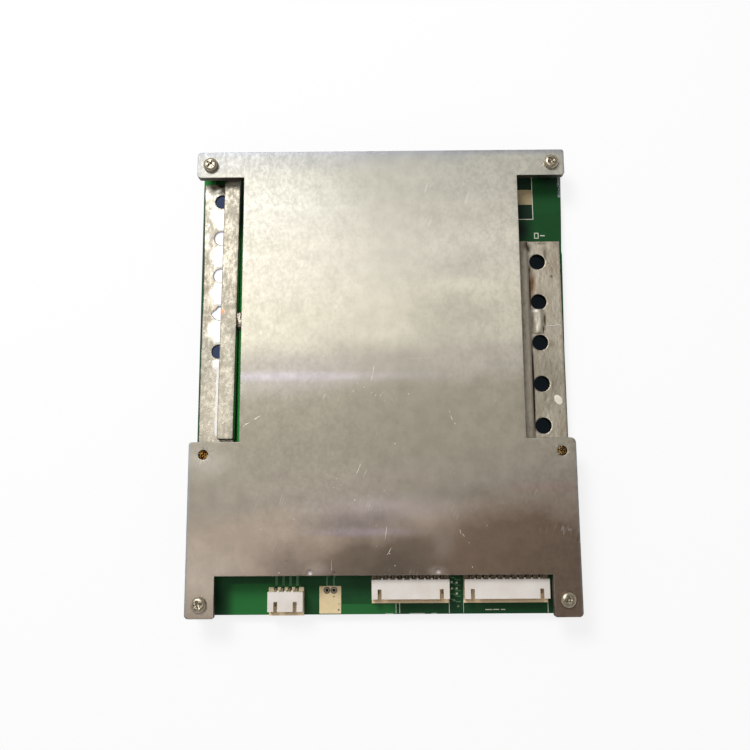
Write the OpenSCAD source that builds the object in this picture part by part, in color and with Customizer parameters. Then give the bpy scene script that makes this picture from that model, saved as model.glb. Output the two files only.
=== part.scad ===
// Battery management board: a circuit board under a notched aluminium heat spreader,
// with two tinned busbars for the heavy cables and three side-entry headers.
// X runs across the board, +Y points away from the headers, +Z points up.
// The origin is under the middle of the board, on the surface that it stands on.

/* [Heat spreader plate] */
// Width of the plate
plate_w = 138; // [134:1:150]
// Length of the plate
plate_l = 171; // [168:1:180]
// Thickness of the plate
plate_t = 3; // [2:0.5:5]
// Radius of the plate's outer corners
plate_corner_r = 1.4; // [0.5:0.1:3]
// Width of the bar across the plate's top end
top_bar_l = 10.1; // [9:0.1:12]
// How far each cable notch is cut in from the plate's side
notch_w = 17.7; // [17:0.1:19]
// Length of the left cable notch
left_notch_l = 99.6; // [97:0.1:100]
// Length of the right cable notch
right_notch_l = 98.9; // [97:0.1:100]
// Depth of the cut-out over the headers
cutout_l = 14.4; // [14:0.1:16]
// Width of the leg on each side of that cut-out
leg_w = 10; // [9:0.1:10.5]

/* [Circuit board] */
// Width of the circuit board
board_w = 137.2; // [136.8:0.1:138]
// Length of the circuit board
board_l = 170.4; // [170:0.1:171]
// How far the broken-off edge stands out at the board's upper right
board_flare = 0.4; // [0:0.1:0.4]
// Thickness of the circuit board
board_t = 1.6; // [1.2:0.2:2.4]
// Clear height between the circuit board and the plate
gap = 7; // [7:0.1:9]

/* [Fasteners] */
// Distance from the middle to the screws, across
screw_x = 64; // [63.5:0.1:64.5]
// Distance from the middle to the corner screws, along
screw_y = 80.2; // [80:0.1:80.5]
// Place of the left open threaded spacer, along
left_spacer_y = -28.75; // [-29:0.05:-28]
// Place of the right open threaded spacer, along
right_spacer_y = -28.15; // [-29:0.05:-28]
// Diameter of the screws' and studs' thread
thread_d = 3; // [2.8:0.1:3]
// Diameter of the screws' heads
head_d = 5.5; // [5:0.1:6]
// Height of the screws' heads
head_h = 2; // [1.8:0.1:2.4]
// Width of the spacers across their flats
spacer_af = 5; // [4.5:0.1:5]
// Width of the nuts under the board across their flats
nut_af = 5.5; // [5.5:0.1:6]
// Height of those nuts, which the board stands on
nut_h = 2.4; // [2:0.1:2.6]

/* [Busbars] */
// Thickness of the tinned strips
strip_t = 1.5; // [1:0.1:2]
// Height of the bars soldered on the strips
bar_h = 3.5; // [2:0.1:3.5]
// Width of those bars
bar_w = 6.1; // [5:0.1:6.2]
// Diameter of the left cable holes
left_hole_d = 5.2; // [5:0.1:6]
// Diameter of the right cable holes
right_hole_d = 5.8; // [5:0.1:6]
// Turn of the left bar, which was soldered by hand
left_bar_turn = -0.55; // [-0.6:0.05:0]

/* [Headers] */
// Distance between two pins
pitch = 2.5; // [2.5:0.1:2.5]
// Height of the headers
header_h = 6.5; // [6:0.1:6.6]
// Length of a header's upper wall
header_l = 6.8; // [6.5:0.1:7]
// How far the lower wall stands out in front of the upper one
header_lip = 1.75; // [1:0.05:1.8]
// Pins of the communication header
comm_pins = 4; // [4:1:4]
// Pins of the left balance header
balance_a_pins = 10; // [9:1:10]
// Pins of the right balance header
balance_b_pins = 11; // [10:1:11]

/* [Power stage] */
// Power transistors in each row
fets = 8; // [6:1:8]
// Distance between two power transistors
fet_pitch = 11.6; // [11:0.1:11.8]
// Height of a power transistor's body
fet_h = 4.4; // [4:0.1:4.6]

/* [Hidden] */
$fn = 32;
slack = 0.02;

// Heights
board_z = nut_h;
top_z = board_z + board_t;
plate_z = top_z + gap;
strip_z = top_z + strip_t;

// Plate outline
web_w = plate_w - 2 * notch_w;
notch_top = plate_l / 2 - top_bar_l;
left_notch_bottom = notch_top - left_notch_l;
right_notch_bottom = notch_top - right_notch_l;
cutout_top = -plate_l / 2 + cutout_l;
screw_hole_d = thread_d + 0.4;
shank_d = thread_d - 2 * slack;
spacer_bore_l = 5.5;
corner_points = [for (x = [-1, 1], y = [-1, 1]) [x * screw_x, y * screw_y]];
spacer_points = [[-screw_x, left_spacer_y], [screw_x, right_spacer_y]];
fastener_points = concat(corner_points, spacer_points);

// Screws
screw_l = 6;
head_flat_d = 3.2;
head_rim_h = 0.9;
recess_l = 3;
recess_w = 0.8;
recess_depth = 1.2;
recess_turns = [20, 48, 8, 30];

// Busbars
left_strip_x = -67.4;
left_strip_w = 12.8;
left_strip_top = 77.4;
right_strip_x = 49.2;
right_strip_w = 18.8;
right_strip_top = 52.2;
strip_bottom = -24.4;
right_bar_top = 51.3;
left_bar_x = -56.85;
left_bar_bottom = -22.5;
right_bar_x = 52.2;
cable_holes = 5;
left_hole_x = -60.95;
left_hole_top = 69.15;
left_hole_pitch = 14.7;
right_hole_x = 59.25;
right_hole_top = 44.1;
right_hole_pitch = 15.6;
left_cable_points = [
    for (i = [0:cable_holes - 1]) [left_hole_x, left_hole_top - i * left_hole_pitch]
];
right_cable_points = [
    for (i = [0:cable_holes - 1]) [right_hole_x, right_hole_top - i * right_hole_pitch]
];

// Headers
pin_w = 0.64;
pin_hole_d = 1;
wall = 0.8;
header_end = 2.45;
pin_z = 3.3;
comb_l = 1.3;
comb_h = 2.6;
notch_r = 0.72;
pin_bend_y = 0.78;
pin_reach = 5.2;
tail_l = 1.3;
latch_slot_w = 1.3;
latch_slot_l = 3.4;
latch_slot_inset = 2.8;
comm_x = -34.6;
comm_y = -76.8;
balance_a_x = 9.5;
balance_b_x = 43.45;
balance_y = -72.75;
spare_pins = [[-20.3, -76.8], [-17.8, -76.8]];
solder_h = 0.9;
solder_r = 0.95;

// Power stage
fet_body_w = 10;
fet_body_l = 8.8;
fet_tab_l = 1.6;
fet_tab_t = 1.2;
fet_lead_w = 0.8;
fet_lead_t = 0.5;
fet_lead_l = 3;
fet_top = 68;
left_fet_x = -50.6;
right_fet_x = 48.2;
fet_rows_y = [for (i = [0:fets - 1]) fet_top - i * fet_pitch];

// Small parts
balance_channels = 20;

function pin_offsets(n) = [for (i = [0:n - 1]) (i - (n - 1) / 2) * pitch];
function header_w(n) = (n - 1) * pitch + 2 * header_end;

// ---------------------------------------------------------------- shared shapes

module at_points(points, z = 0) {
    for (p = points) translate([p[0], p[1], z]) children();
}

module rounded_rect(w, l, r) {
    square([w - 2 * r, l], center = true);
    square([w, l - 2 * r], center = true);
    for (x = [-1, 1], y = [-1, 1])
        translate([x * (w / 2 - r), y * (l / 2 - r)]) circle(r);
}

module box(w, l, h) {
    translate([-w / 2, -l / 2, 0]) cube([w, l, h]);
}

module hexagon(flats, h) {
    cylinder(d = flats / cos(30), h = h, $fn = 6);
}

// A hexagonal spacer with a threaded hole in its top and a stud that passes through the board
module hex_spacer() {
    stud_l = board_t + nut_h;
    difference() {
        hexagon(spacer_af, gap);
        translate([0, 0, gap - spacer_bore_l]) cylinder(d = thread_d, h = gap);
    }
    translate([0, 0, -stud_l]) cylinder(d = shank_d, h = stud_l + 0.5);
}

// A pan-head screw with its head above z = 0 and its shank below
module pan_screw(turn) {
    flat_r = head_flat_d / 2;
    difference() {
        rotate_extrude() {
            square([head_d / 2, head_rim_h]);
            square([flat_r, head_h]);
            translate([flat_r, head_rim_h]) intersection() {
                scale([head_d / 2 - flat_r, head_h - head_rim_h]) circle(1);
                square(head_d);
            }
        }
        rotate(turn) translate([0, 0, head_h - recess_depth]) {
            box(recess_l, recess_w, recess_depth + 1);
            box(recess_w, recess_l, recess_depth + 1);
        }
    }
    translate([0, 0, -screw_l]) cylinder(d = shank_d, h = screw_l + 0.1);
}

// A small moulded package with a row of flat leads on two sides
module leaded_chip(w, l, h, leads, lead_pitch) {
    foot = 1;
    translate([0, 0, 0.1]) box(w, l, h - 0.1);
    for (side = [-1, 1], i = [0:leads - 1])
        translate([(i - (leads - 1) / 2) * lead_pitch, side * (l + foot) / 2, 0])
            box(lead_pitch * 0.45, foot + 0.4, 0.25);
}

module quad_chip(size, h, leads, lead_pitch) {
    leaded_chip(size, size, h, leads, lead_pitch);
    rotate(90) leaded_chip(size, size, h, leads, lead_pitch);
}

// ---------------------------------------------------------------- plate and board

module plate_outline() {
    translate([0, plate_l / 2 - top_bar_l / 2])
        rounded_rect(plate_w, top_bar_l, plate_corner_r);
    translate([0, (notch_top + cutout_top) / 2])
        square([web_w, notch_top - cutout_top + 2 * plate_corner_r], center = true);
    difference() {
        union() {
            plate_foot(-1, left_notch_bottom);
            plate_foot(1, right_notch_bottom);
        }
        translate([0, -plate_l / 2])
            square([plate_w - 2 * leg_w, 2 * cutout_l], center = true);
    }
}

// The plate below one cable notch, to just past the middle
module plate_foot(side, top) {
    w = plate_w / 2 + 5;
    translate([side * (plate_w - w) / 2, (top - plate_l / 2) / 2])
        rounded_rect(w, top + plate_l / 2, plate_corner_r);
}

module heatsink_plate() {
    color([0.80, 0.78, 0.72]) translate([0, 0, plate_z]) linear_extrude(plate_t)
        difference() {
            plate_outline();
            at_points(fastener_points) circle(d = screw_hole_d);
        }
}

// The board's outline, with a broken-off edge at the upper right
module board_outline() {
    edge = board_w / 2;
    rounded_rect(board_w, board_l, 1);
    polygon([[edge - 1, 12], [edge, 12], [edge + board_flare, 55],
        [edge + board_flare, 79.5], [edge - 1, 79.5]]);
}

module circuit_board() {
    color([0.10, 0.36, 0.16]) translate([0, 0, board_z]) linear_extrude(board_t)
        difference() {
            board_outline();
            at_points(fastener_points) circle(d = screw_hole_d);
            at_points(left_cable_points) circle(d = left_hole_d);
            at_points(right_cable_points) circle(d = right_hole_d);
            at_points(spare_pins) circle(d = pin_hole_d, $fn = 16);
            at_header_pins() circle(d = pin_hole_d, $fn = 16);
        }
}

// ---------------------------------------------------------------- busbars

module busbar_strip(x, w, top, points, hole_d) {
    color([0.80, 0.77, 0.70]) translate([0, 0, top_z]) linear_extrude(strip_t)
        difference() {
            translate([x, strip_bottom]) square([w, top - strip_bottom]);
            at_points(points) circle(d = hole_d);
        }
}

module busbar_bar(x, bottom, top, turn) {
    color([0.78, 0.74, 0.66]) translate([x, (top + bottom) / 2, strip_z]) rotate(turn)
        linear_extrude(bar_h) rounded_rect(bar_w, top - bottom, 0.4);
}

module left_busbar_strip() {
    busbar_strip(left_strip_x, left_strip_w, left_strip_top, left_cable_points, left_hole_d);
}

module left_busbar_bar() {
    busbar_bar(left_bar_x, left_bar_bottom, left_strip_top, left_bar_turn);
}

module right_busbar_strip() {
    busbar_strip(right_strip_x, right_strip_w, right_strip_top, right_cable_points, right_hole_d);
}

module right_busbar_bar() {
    busbar_bar(right_bar_x, strip_bottom, right_bar_top, 0);
}

// A fillet of solder with a hollow face, along a bar's foot
module solder_fillet(reach, height, length) {
    rotate([90, 0, 0]) linear_extrude(length, center = true) difference() {
        square([reach, height]);
        translate([reach, height]) scale([reach, height]) circle(1, $fn = 48);
    }
}

module left_bar_solder() {
    length = left_strip_top - left_bar_bottom - 6;
    color([0.88, 0.87, 0.83]) difference() {
        translate([left_bar_x, (left_strip_top + left_bar_bottom) / 2, strip_z])
            rotate(left_bar_turn) translate([-bar_w / 2, 0, 0])
                mirror([1, 0, 0]) solder_fillet(3.2, 1.6, length);
        solder_clearance(left_cable_points, left_hole_d);
    }
}

module right_bar_solder() {
    middle = right_hole_top - 1.5 * right_hole_pitch;
    color([0.88, 0.87, 0.83]) difference() {
        translate([right_bar_x + bar_w / 2, middle, strip_z]) solder_fillet(4.6, 1.2, 11);
        solder_clearance(right_cable_points, right_hole_d);
    }
}

// The solder stops just short of the cable holes
module solder_clearance(points, hole_d) {
    at_points(points, strip_z - 1) cylinder(d = hole_d + 0.3, h = bar_h);
}

// A lump of solder that ran down between the bar and the plate's edge
module solder_lump() {
    lump_w = 3.4;
    lump_l = 7.6;
    color([0.85, 0.82, 0.76]) difference() {
        translate([left_strip_x + left_strip_w + lump_w / 2, 21.9, top_z])
            linear_extrude(4.6) rounded_rect(lump_w, lump_l, 1.2);
        left_busbar_bar();
    }
}

module glue_dab() {
    color([0.93, 0.91, 0.85]) translate([65, -8.8, strip_z]) rotate(28)
        linear_extrude(0.5) rounded_rect(3, 4.4, 1.49);
}

// ---------------------------------------------------------------- fasteners

module corner_spacers() {
    color([0.80, 0.62, 0.28]) at_points(corner_points, top_z) hex_spacer();
}

module left_spacer() {
    color([0.80, 0.62, 0.28]) at_points([spacer_points[0]], top_z) hex_spacer();
}

module right_spacer() {
    color([0.80, 0.62, 0.28]) at_points([spacer_points[1]], top_z) hex_spacer();
}

module plate_screws() {
    color([0.75, 0.74, 0.70]) for (i = [0:len(corner_points) - 1])
        at_points([corner_points[i]], plate_z + plate_t) pan_screw(recess_turns[i]);
}

module spacer_nuts() {
    color([0.75, 0.74, 0.70]) at_points(fastener_points) difference() {
        hexagon(nut_af, nut_h);
        translate([0, 0, -1]) cylinder(d = thread_d, h = nut_h + 2);
    }
}

// ---------------------------------------------------------------- headers

module at_comm_header() {
    translate([comm_x, comm_y, top_z]) children();
}

module at_balance_a() {
    translate([balance_a_x, balance_y, top_z]) children();
}

module at_balance_b() {
    translate([balance_b_x, balance_y, top_z]) children();
}

// Places the children in the plane of the board at each header pin
module at_header_pins() {
    for (x = pin_offsets(comm_pins)) translate([comm_x + x, comm_y + pin_bend_y]) children();
    for (x = pin_offsets(balance_a_pins))
        translate([balance_a_x + x, balance_y + pin_bend_y]) children();
    for (x = pin_offsets(balance_b_pins))
        translate([balance_b_x + x, balance_y + pin_bend_y]) children();
}

// A housing whose rear face lies at y = 0, open towards -Y, with a comb behind it
module header_housing(n) {
    w = header_w(n);
    slot_x = w / 2 - latch_slot_inset;
    color([0.91, 0.88, 0.83]) difference() {
        union() {
            translate([-w / 2, -header_l, 0]) cube([w, header_l, header_h]);
            translate([-w / 2, -header_l - header_lip, 0]) cube([w, header_lip + 1, wall + 0.3]);
            translate([-w / 2, -slack, 0]) cube([w, comb_l + slack, comb_h]);
            for (x = pin_offsets(n)) translate([x + pitch / 2 - 0.35, -slack, 0])
                if (x < w / 2 - pitch) cube([0.7, 0.5, header_h]);
        }
        translate([-w / 2 + wall, -header_l - 1, wall])
            cube([w - 2 * wall, header_l - 1.2 + 1, header_h - 2 * wall]);
        for (side = [-1, 1])
            translate([side * slot_x - latch_slot_w / 2, -header_l - 1, header_h - wall - 1])
                cube([latch_slot_w, latch_slot_l + 1, wall + 2]);
        for (x = pin_offsets(n)) {
            translate([x, comb_l, -1]) cylinder(r = notch_r, h = header_h, $fn = 24);
            translate([x - notch_r, pin_bend_y - pin_w, -1])
                cube([2 * notch_r, comb_l, header_h]);
            translate([x - pin_w / 2 - slack, -2, pin_z - pin_w / 2 - slack])
                cube([pin_w + 2 * slack, 4, pin_w + 2 * slack]);
        }
    }
}

// Square pins that run into the housing, bend down behind it and pass through the board
module header_pins(n) {
    tail = board_t + tail_l;
    color([0.82, 0.80, 0.74]) for (x = pin_offsets(n)) translate([x - pin_w / 2, 0, 0])
        rotate([90, 0, 90]) linear_extrude(pin_w) union() {
            translate([-pin_reach, pin_z - pin_w / 2])
                square([pin_reach + pin_bend_y + pin_w / 2, pin_w]);
            translate([pin_bend_y - pin_w / 2, -tail]) square([pin_w, tail + pin_z]);
        }
}

module comm_header_housing() {
    at_comm_header() header_housing(comm_pins);
}

module comm_header_pins() {
    at_comm_header() header_pins(comm_pins);
}

module balance_header_a_housing() {
    at_balance_a() header_housing(balance_a_pins);
}

module balance_header_a_pins() {
    at_balance_a() header_pins(balance_a_pins);
}

module balance_header_b_housing() {
    at_balance_b() header_housing(balance_b_pins);
}

module balance_header_b_pins() {
    at_balance_b() header_pins(balance_b_pins);
}

// Cones of solder round the pins' tails, under the board
module pin_solder() {
    color([0.82, 0.81, 0.78]) translate([0, 0, board_z - solder_h]) at_header_pins()
        difference() {
            cylinder(r1 = solder_r * 0.6, r2 = solder_r, h = solder_h, $fn = 16);
            translate([0, 0, -1]) box(pin_w + slack, pin_w + slack, solder_h + 2);
        }
}

// ---------------------------------------------------------------- power stage

// The children face +X, with the tab at x = 0 and the leads towards +X
module at_left_fets() {
    for (y = fet_rows_y) translate([left_fet_x, y, top_z]) children();
}

module at_right_fets() {
    for (y = fet_rows_y) translate([right_fet_x, y, top_z]) rotate(180) children();
}

module fet_body() {
    chamfer = 0.5;
    color([0.10, 0.10, 0.11]) translate([fet_tab_l, fet_body_w / 2, 0])
        rotate([90, 0, 0]) linear_extrude(fet_body_w) polygon([
            [0, 0],
            [fet_body_l, 0],
            [fet_body_l, fet_h / 2],
            [fet_body_l - chamfer, fet_h],
            [chamfer, fet_h],
            [0, fet_tab_t],
        ]);
}

module fet_leads() {
    heel = fet_tab_l + fet_body_l;
    rise = fet_h / 2;
    color([0.75, 0.74, 0.72]) {
        translate([0, -fet_body_w / 2, 0]) cube([fet_tab_l, fet_body_w, fet_tab_t]);
        for (y = [-2.54, 2.54])
            translate([heel, y + fet_lead_w / 2, 0]) rotate([90, 0, 0])
                linear_extrude(fet_lead_w) polygon([
                    [0, rise - fet_lead_t],
                    [0, rise],
                    [0.9, rise],
                    [1.5, fet_lead_t],
                    [fet_lead_l, fet_lead_t],
                    [fet_lead_l, 0],
                    [1.1, 0],
                    [0.5, rise - fet_lead_t],
                ]);
    }
}

module left_fet_bodies() {
    at_left_fets() fet_body();
}

module left_fet_leads() {
    at_left_fets() fet_leads();
}

module right_fet_bodies() {
    at_right_fets() fet_body();
}

module right_fet_leads() {
    at_right_fets() fet_leads();
}

module thermal_pad(x) {
    length = (fets - 1) * fet_pitch + fet_body_w;
    color([0.55, 0.60, 0.66])
        translate([x, fet_top - (fets - 1) * fet_pitch / 2, top_z + fet_h])
            box(fet_body_l, length, gap - fet_h);
}

module left_thermal_pad() {
    thermal_pad(left_fet_x + fet_tab_l + fet_body_l / 2);
}

module right_thermal_pad() {
    thermal_pad(right_fet_x - fet_tab_l - fet_body_l / 2);
}

// Alloy links that the whole current runs through, raised in the middle
module current_shunts() {
    shunt_w = 11;
    leg = 2.2;
    rise = 1.2;
    thick = 0.8;
    color([0.70, 0.55, 0.42]) for (i = [0:5])
        translate([0, 62 - i * 9, top_z]) translate([-shunt_w / 2, 3, 0])
            rotate([90, 0, 0]) linear_extrude(6) polygon([
                [0, 0],
                [leg, 0],
                [leg + 0.6, rise],
                [shunt_w - leg - 0.6, rise],
                [shunt_w - leg, 0],
                [shunt_w, 0],
                [shunt_w, thick],
                [shunt_w - leg + 0.5, thick],
                [shunt_w - leg - 0.1, rise + thick],
                [leg + 0.1, rise + thick],
                [leg - 0.5, thick],
                [0, thick],
            ]);
}

module surge_diodes() {
    color([0.14, 0.14, 0.15]) for (side = [-1, 1], i = [0:3])
        translate([side * 26, 58 - i * 18, top_z]) {
            translate([0, 0, 0.2]) box(5.9, 6.9, 2.2);
            for (end = [-1, 1]) translate([0, end * 3.6, 0]) box(3, 1.2, 1.2);
        }
}

module gate_drivers() {
    color([0.09, 0.09, 0.10]) for (side = [-1, 1])
        translate([side * 28, -16, top_z]) leaded_chip(4.9, 3.9, 1.6, 4, 1.27);
}

// ---------------------------------------------------------------- control stage

module front_end_chip_a() {
    color([0.09, 0.09, 0.10]) translate([4, -47, top_z]) quad_chip(7, 1.5, 12, 0.5);
}

module front_end_chip_b() {
    color([0.09, 0.09, 0.10]) translate([38, -47, top_z]) quad_chip(7, 1.5, 12, 0.5);
}

module microcontroller() {
    color([0.09, 0.09, 0.10]) translate([-30, -50, top_z]) quad_chip(10, 1.5, 12, 0.75);
}

module crystal() {
    color([0.78, 0.78, 0.77]) translate([-30, -38, top_z]) {
        translate([0, 0, 0.6]) linear_extrude(3.6) rounded_rect(10.6, 4.2, 2.09);
        box(11.4, 4.7, 0.6);
    }
}

module optocouplers() {
    color([0.92, 0.92, 0.90]) for (i = [0:2])
        translate([-50, -48 - i * 8, top_z]) leaded_chip(4.1, 4.4, 2.1, 2, 2.54);
}

module balance_resistors() {
    color([0.10, 0.10, 0.10]) for (i = [0:balance_channels - 1])
        translate([-8 + (i % 10) * 6.2, -58 - floor(i / 10) * 7.4, top_z]) box(3.2, 6.3, 0.6);
}

module balance_transistors() {
    color([0.12, 0.12, 0.13]) for (i = [0:balance_channels - 1])
        translate([-8 + (i % 10) * 6.2, -30.5 - floor(i / 10) * 5, top_z])
            leaded_chip(2.9, 1.3, 1, 2, 1.9);
}

module electrolytic_capacitors() {
    can_d = 6.3;
    can_h = 5.6;
    base_h = 1;
    color([0.82, 0.82, 0.83]) for (i = [0:3]) translate([-18 + i * 12, -6, top_z]) {
        box(can_d + 0.3, can_d + 0.3, base_h);
        cylinder(d = can_d, h = can_h);
    }
}

module ceramic_capacitors() {
    color([0.72, 0.60, 0.44]) for (i = [0:5], j = [0:3])
        translate([-16 + i * 7, -13.5 - j * 4, top_z]) box(2, 1.25, 1.2);
}

module power_inductor() {
    color([0.25, 0.25, 0.26]) translate([-30, -64, top_z])
        linear_extrude(4) rounded_rect(7.3, 7.3, 1.2);
}

module supply_regulator() {
    color([0.10, 0.10, 0.11]) translate([-42, -38, top_z]) {
        box(6.5, 3.5, 1.6);
        translate([0, 2.9, 0]) box(3, 2.3, 0.3);
        for (x = [-2.3, 0, 2.3]) translate([x, -2.7, 0]) box(0.7, 1.9, 0.3);
    }
}

// ---------------------------------------------------------------- drawing

heatsink_plate();
circuit_board();
left_busbar_strip();
left_busbar_bar();
left_bar_solder();
solder_lump();
right_busbar_strip();
right_busbar_bar();
right_bar_solder();
glue_dab();
corner_spacers();
left_spacer();
right_spacer();
plate_screws();
spacer_nuts();
comm_header_housing();
comm_header_pins();
balance_header_a_housing();
balance_header_a_pins();
balance_header_b_housing();
balance_header_b_pins();
pin_solder();
left_fet_bodies();
left_fet_leads();
left_thermal_pad();
right_fet_bodies();
right_fet_leads();
right_thermal_pad();
current_shunts();
surge_diodes();
gate_drivers();
front_end_chip_a();
front_end_chip_b();
microcontroller();
crystal();
optocouplers();
balance_resistors();
balance_transistors();
electrolytic_capacitors();
ceramic_capacitors();
power_inductor();
supply_regulator();
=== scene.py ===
import random
from math import atan2, ceil, copysign, cos, exp, hypot, pi, radians, sin, sqrt, tan, tau

import bmesh
import bpy
import numpy as np
from mathutils import Matrix, Vector, geometry, noise


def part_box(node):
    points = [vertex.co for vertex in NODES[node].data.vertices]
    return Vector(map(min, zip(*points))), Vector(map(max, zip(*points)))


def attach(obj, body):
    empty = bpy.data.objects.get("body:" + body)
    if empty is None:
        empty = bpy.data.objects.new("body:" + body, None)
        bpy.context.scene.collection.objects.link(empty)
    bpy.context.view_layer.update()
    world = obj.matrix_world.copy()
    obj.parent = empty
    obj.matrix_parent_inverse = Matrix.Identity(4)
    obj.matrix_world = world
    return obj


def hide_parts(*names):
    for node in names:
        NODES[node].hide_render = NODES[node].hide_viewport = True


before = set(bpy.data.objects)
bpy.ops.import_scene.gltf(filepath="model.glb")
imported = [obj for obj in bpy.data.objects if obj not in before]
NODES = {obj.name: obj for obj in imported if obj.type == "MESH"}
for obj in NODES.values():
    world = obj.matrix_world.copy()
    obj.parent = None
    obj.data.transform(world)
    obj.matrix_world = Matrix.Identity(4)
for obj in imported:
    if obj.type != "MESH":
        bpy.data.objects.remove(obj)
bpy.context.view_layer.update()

bl_info = {
    "name": "Battery board looks",
    "version": (1, 0, 0),
    "blender": (4, 5, 0),
    "location": "View3D > Sidebar > Battery board",
    "description": "Dresses the packed solids of a battery management board",
    "category": "Object",
}

# Shapes, bands, patches and stains are in millimetres. Other numbers in the finishes are in
# metres, and so are the settings and the stage.
MM = 0.001

# Heights above the surface that the board stands on
BOARD_LOW, BOARD_TOP = 2.4, 4.0
STRIP_TOP = 5.5
BAR_TOP = 9.0
PLATE_LOW, PLATE_TOP = 11.0, 14.0

# Places of screws, spacers and cable holes
CORNERS = [(x * 64.0, y * 80.2) for x in (-1, 1) for y in (-1, 1)]
SCREWS = [(-64.1, -80.6), (-63.85, 80.2), (63.7, -79.6), (64.2, 80.25)]
OPEN_SPACERS = [(-64.0, -28.75), (64.0, -28.15)]
LEFT_HOLES = [(-60.95, 69.15 - 14.7 * i) for i in range(5)]
RIGHT_HOLES = [(59.25, 44.1 - 15.6 * i) for i in range(5)]
LEFT_HOLE_R, RIGHT_HOLE_R = 2.6, 2.9
# Radii of the plate's holes, of the board's under the left strip, and of the spare header's
PLATE_HOLE_R, BOARD_HOLE_R, SPARE_HOLE_R = 1.7, 3.4, 0.5
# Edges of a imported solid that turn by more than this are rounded
ROUNDED_FROM = radians(30)


def tone(red, green, blue):
    """A colour given in display values of 0 to 255, as the shader wants it."""
    def linear(value):
        value /= 255
        return value / 12.92 if value <= 0.04045 else ((value + 0.055) / 1.055) ** 2.4
    return (linear(red), linear(green), linear(blue), 1.0)


# ---------------------------------------------------------------- node trees

def rule(operation, swapped=False):
    """A sum for two wires, or for a wire and a number."""
    def reckon(self, other=0.0):
        return calc(operation, *((other, self) if swapped else (self, other)))
    return reckon


class Wire:
    """An output in a node tree that is reckoned with like a number."""
    __add__, __sub__, __mul__ = rule("ADD"), rule("SUBTRACT"), rule("MULTIPLY")
    __rsub__, __rtruediv__ = rule("SUBTRACT", swapped=True), rule("DIVIDE", swapped=True)
    __truediv__, __lt__, __gt__ = rule("DIVIDE"), rule("LESS_THAN"), rule("GREATER_THAN")
    __abs__, most, least = rule("ABSOLUTE"), rule("MAXIMUM"), rule("MINIMUM")

    def __init__(self, tree, socket):
        self.tree, self.socket = tree, socket

    def __getitem__(self, key):
        """Another output of the same node."""
        return Wire(self.tree, self.socket.node.outputs[key])


def feed(socket, value):
    """Joins a socket to a wire, or sets it to a plain value or to a display colour."""
    if isinstance(value, Wire):
        value.tree.links.new(value.socket, socket)
    elif socket.type == "RGBA" and len(value) == 3:
        socket.default_value = tone(*value)
    else:
        socket.default_value = value


def node(tree, kind, inputs=None, **settings):
    """Adds a shader node, sets it up and gives back its first output."""
    made = tree.nodes.new("ShaderNode" + kind)
    for key, value in settings.items():
        setattr(made, key, value)
    for key, value in (inputs or {}).items():
        feed(made.inputs[key], value)
    return Wire(tree, made.outputs[0])


def tree_of(*values):
    """The node tree of the first wire among the values."""
    return next(value.tree for value in values if isinstance(value, Wire))


def calc(operation, *values, clamp=False):
    """A sum of wires and numbers."""
    return node(tree_of(*values), "Math", dict(enumerate(values)), operation=operation,
                use_clamp=clamp)


def mix(factor, first, second, kind="MIX"):
    """Two colours mixed, with the factor held between 0 and 1."""
    return node(tree_of(factor, first, second), "Mix", {0: factor, 6: first, 7: second},
                data_type="RGBA", blend_type=kind)[2]


def ease(value, start, end, low=0.0, high=1.0):
    """A soft step from low to high while value runs from start to end."""
    return node(value.tree, "MapRange", {
        "Value": value, "From Min": start, "From Max": end, "To Min": low, "To Max": high,
    }, interpolation_type="SMOOTHSTEP")


def fall(value, start, end):
    """A soft step down from 1 to 0."""
    return ease(value, start, end, 1.0, 0.0)


def window(value, start, end, fade=0.0002):
    """1 while value lies between start and end, with a short fade just inside each."""
    return ease(value, start, start + fade) * fall(value, end - fade, end)


def split(vector):
    """The x, y and z of a vector."""
    return node(vector.tree, "SeparateXYZ", {0: vector})


def arrows(operation, first, second):
    """A sum of two vectors."""
    return node(first.tree, "VectorMath", {0: first, 1: second}, operation=operation)


def speckle(where, scale, detail):
    """Noise between 0 and 1."""
    return node(where.tree, "TexNoise", {"Vector": where, "Scale": scale, "Detail": detail})


def facing_up(where):
    """1 where a face looks up, 0 on walls and -1 underneath."""
    return split(node(where.tree, "NewGeometry")["Normal"])[2]


def effect(result, **defaults):
    """Makes a node group of the function below it, built once and placed at each call."""
    labels = ["Vector", *(key.capitalize() for key in defaults)]

    def build(name, recipe):
        tree = bpy.data.node_groups.new(name, "ShaderNodeTree")
        for label, default in zip(labels, [(0, 0, 0), *defaults.values()]):
            kind = "NodeSocketVector" if isinstance(default, tuple) else "NodeSocketFloat"
            made = tree.interface.new_socket(label, in_out="INPUT", socket_type=kind)
            made.default_value = default
        tree.interface.new_socket(result, in_out="OUTPUT", socket_type="NodeSocketFloat")
        given = Wire(tree, tree.nodes.new("NodeGroupInput").outputs[0])
        end = tree.nodes.new("NodeGroupOutput").inputs[result]
        feed(end, recipe(*(given[each] for each in labels)))
        return tree

    def maker(recipe):
        name = recipe.__name__.replace("_", " ").capitalize()

        def placed(where, **values):
            made = where.tree.nodes.new("ShaderNodeGroup")
            made.node_tree = bpy.data.node_groups.get(name) or build(name, recipe)
            feed(made.inputs["Vector"], where)
            for key, value in values.items():
                feed(made.inputs[key.capitalize()], value)
            return Wire(where.tree, made.outputs[result])
        return placed
    return maker


@effect("Value", size=0.004, stretch=(1, 1, 1), shift=0.0, contrast=1.0)
def cloud(where, size, stretch, shift, contrast):
    """Soft blotches of a given size, round 0.5."""
    drawn = arrows("MULTIPLY", arrows("ADD", where, shift), stretch)
    return calc("ADD", (speckle(drawn, 1.0 / size, 3.0) - 0.5) * contrast, 0.5, clamp=True)


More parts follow.
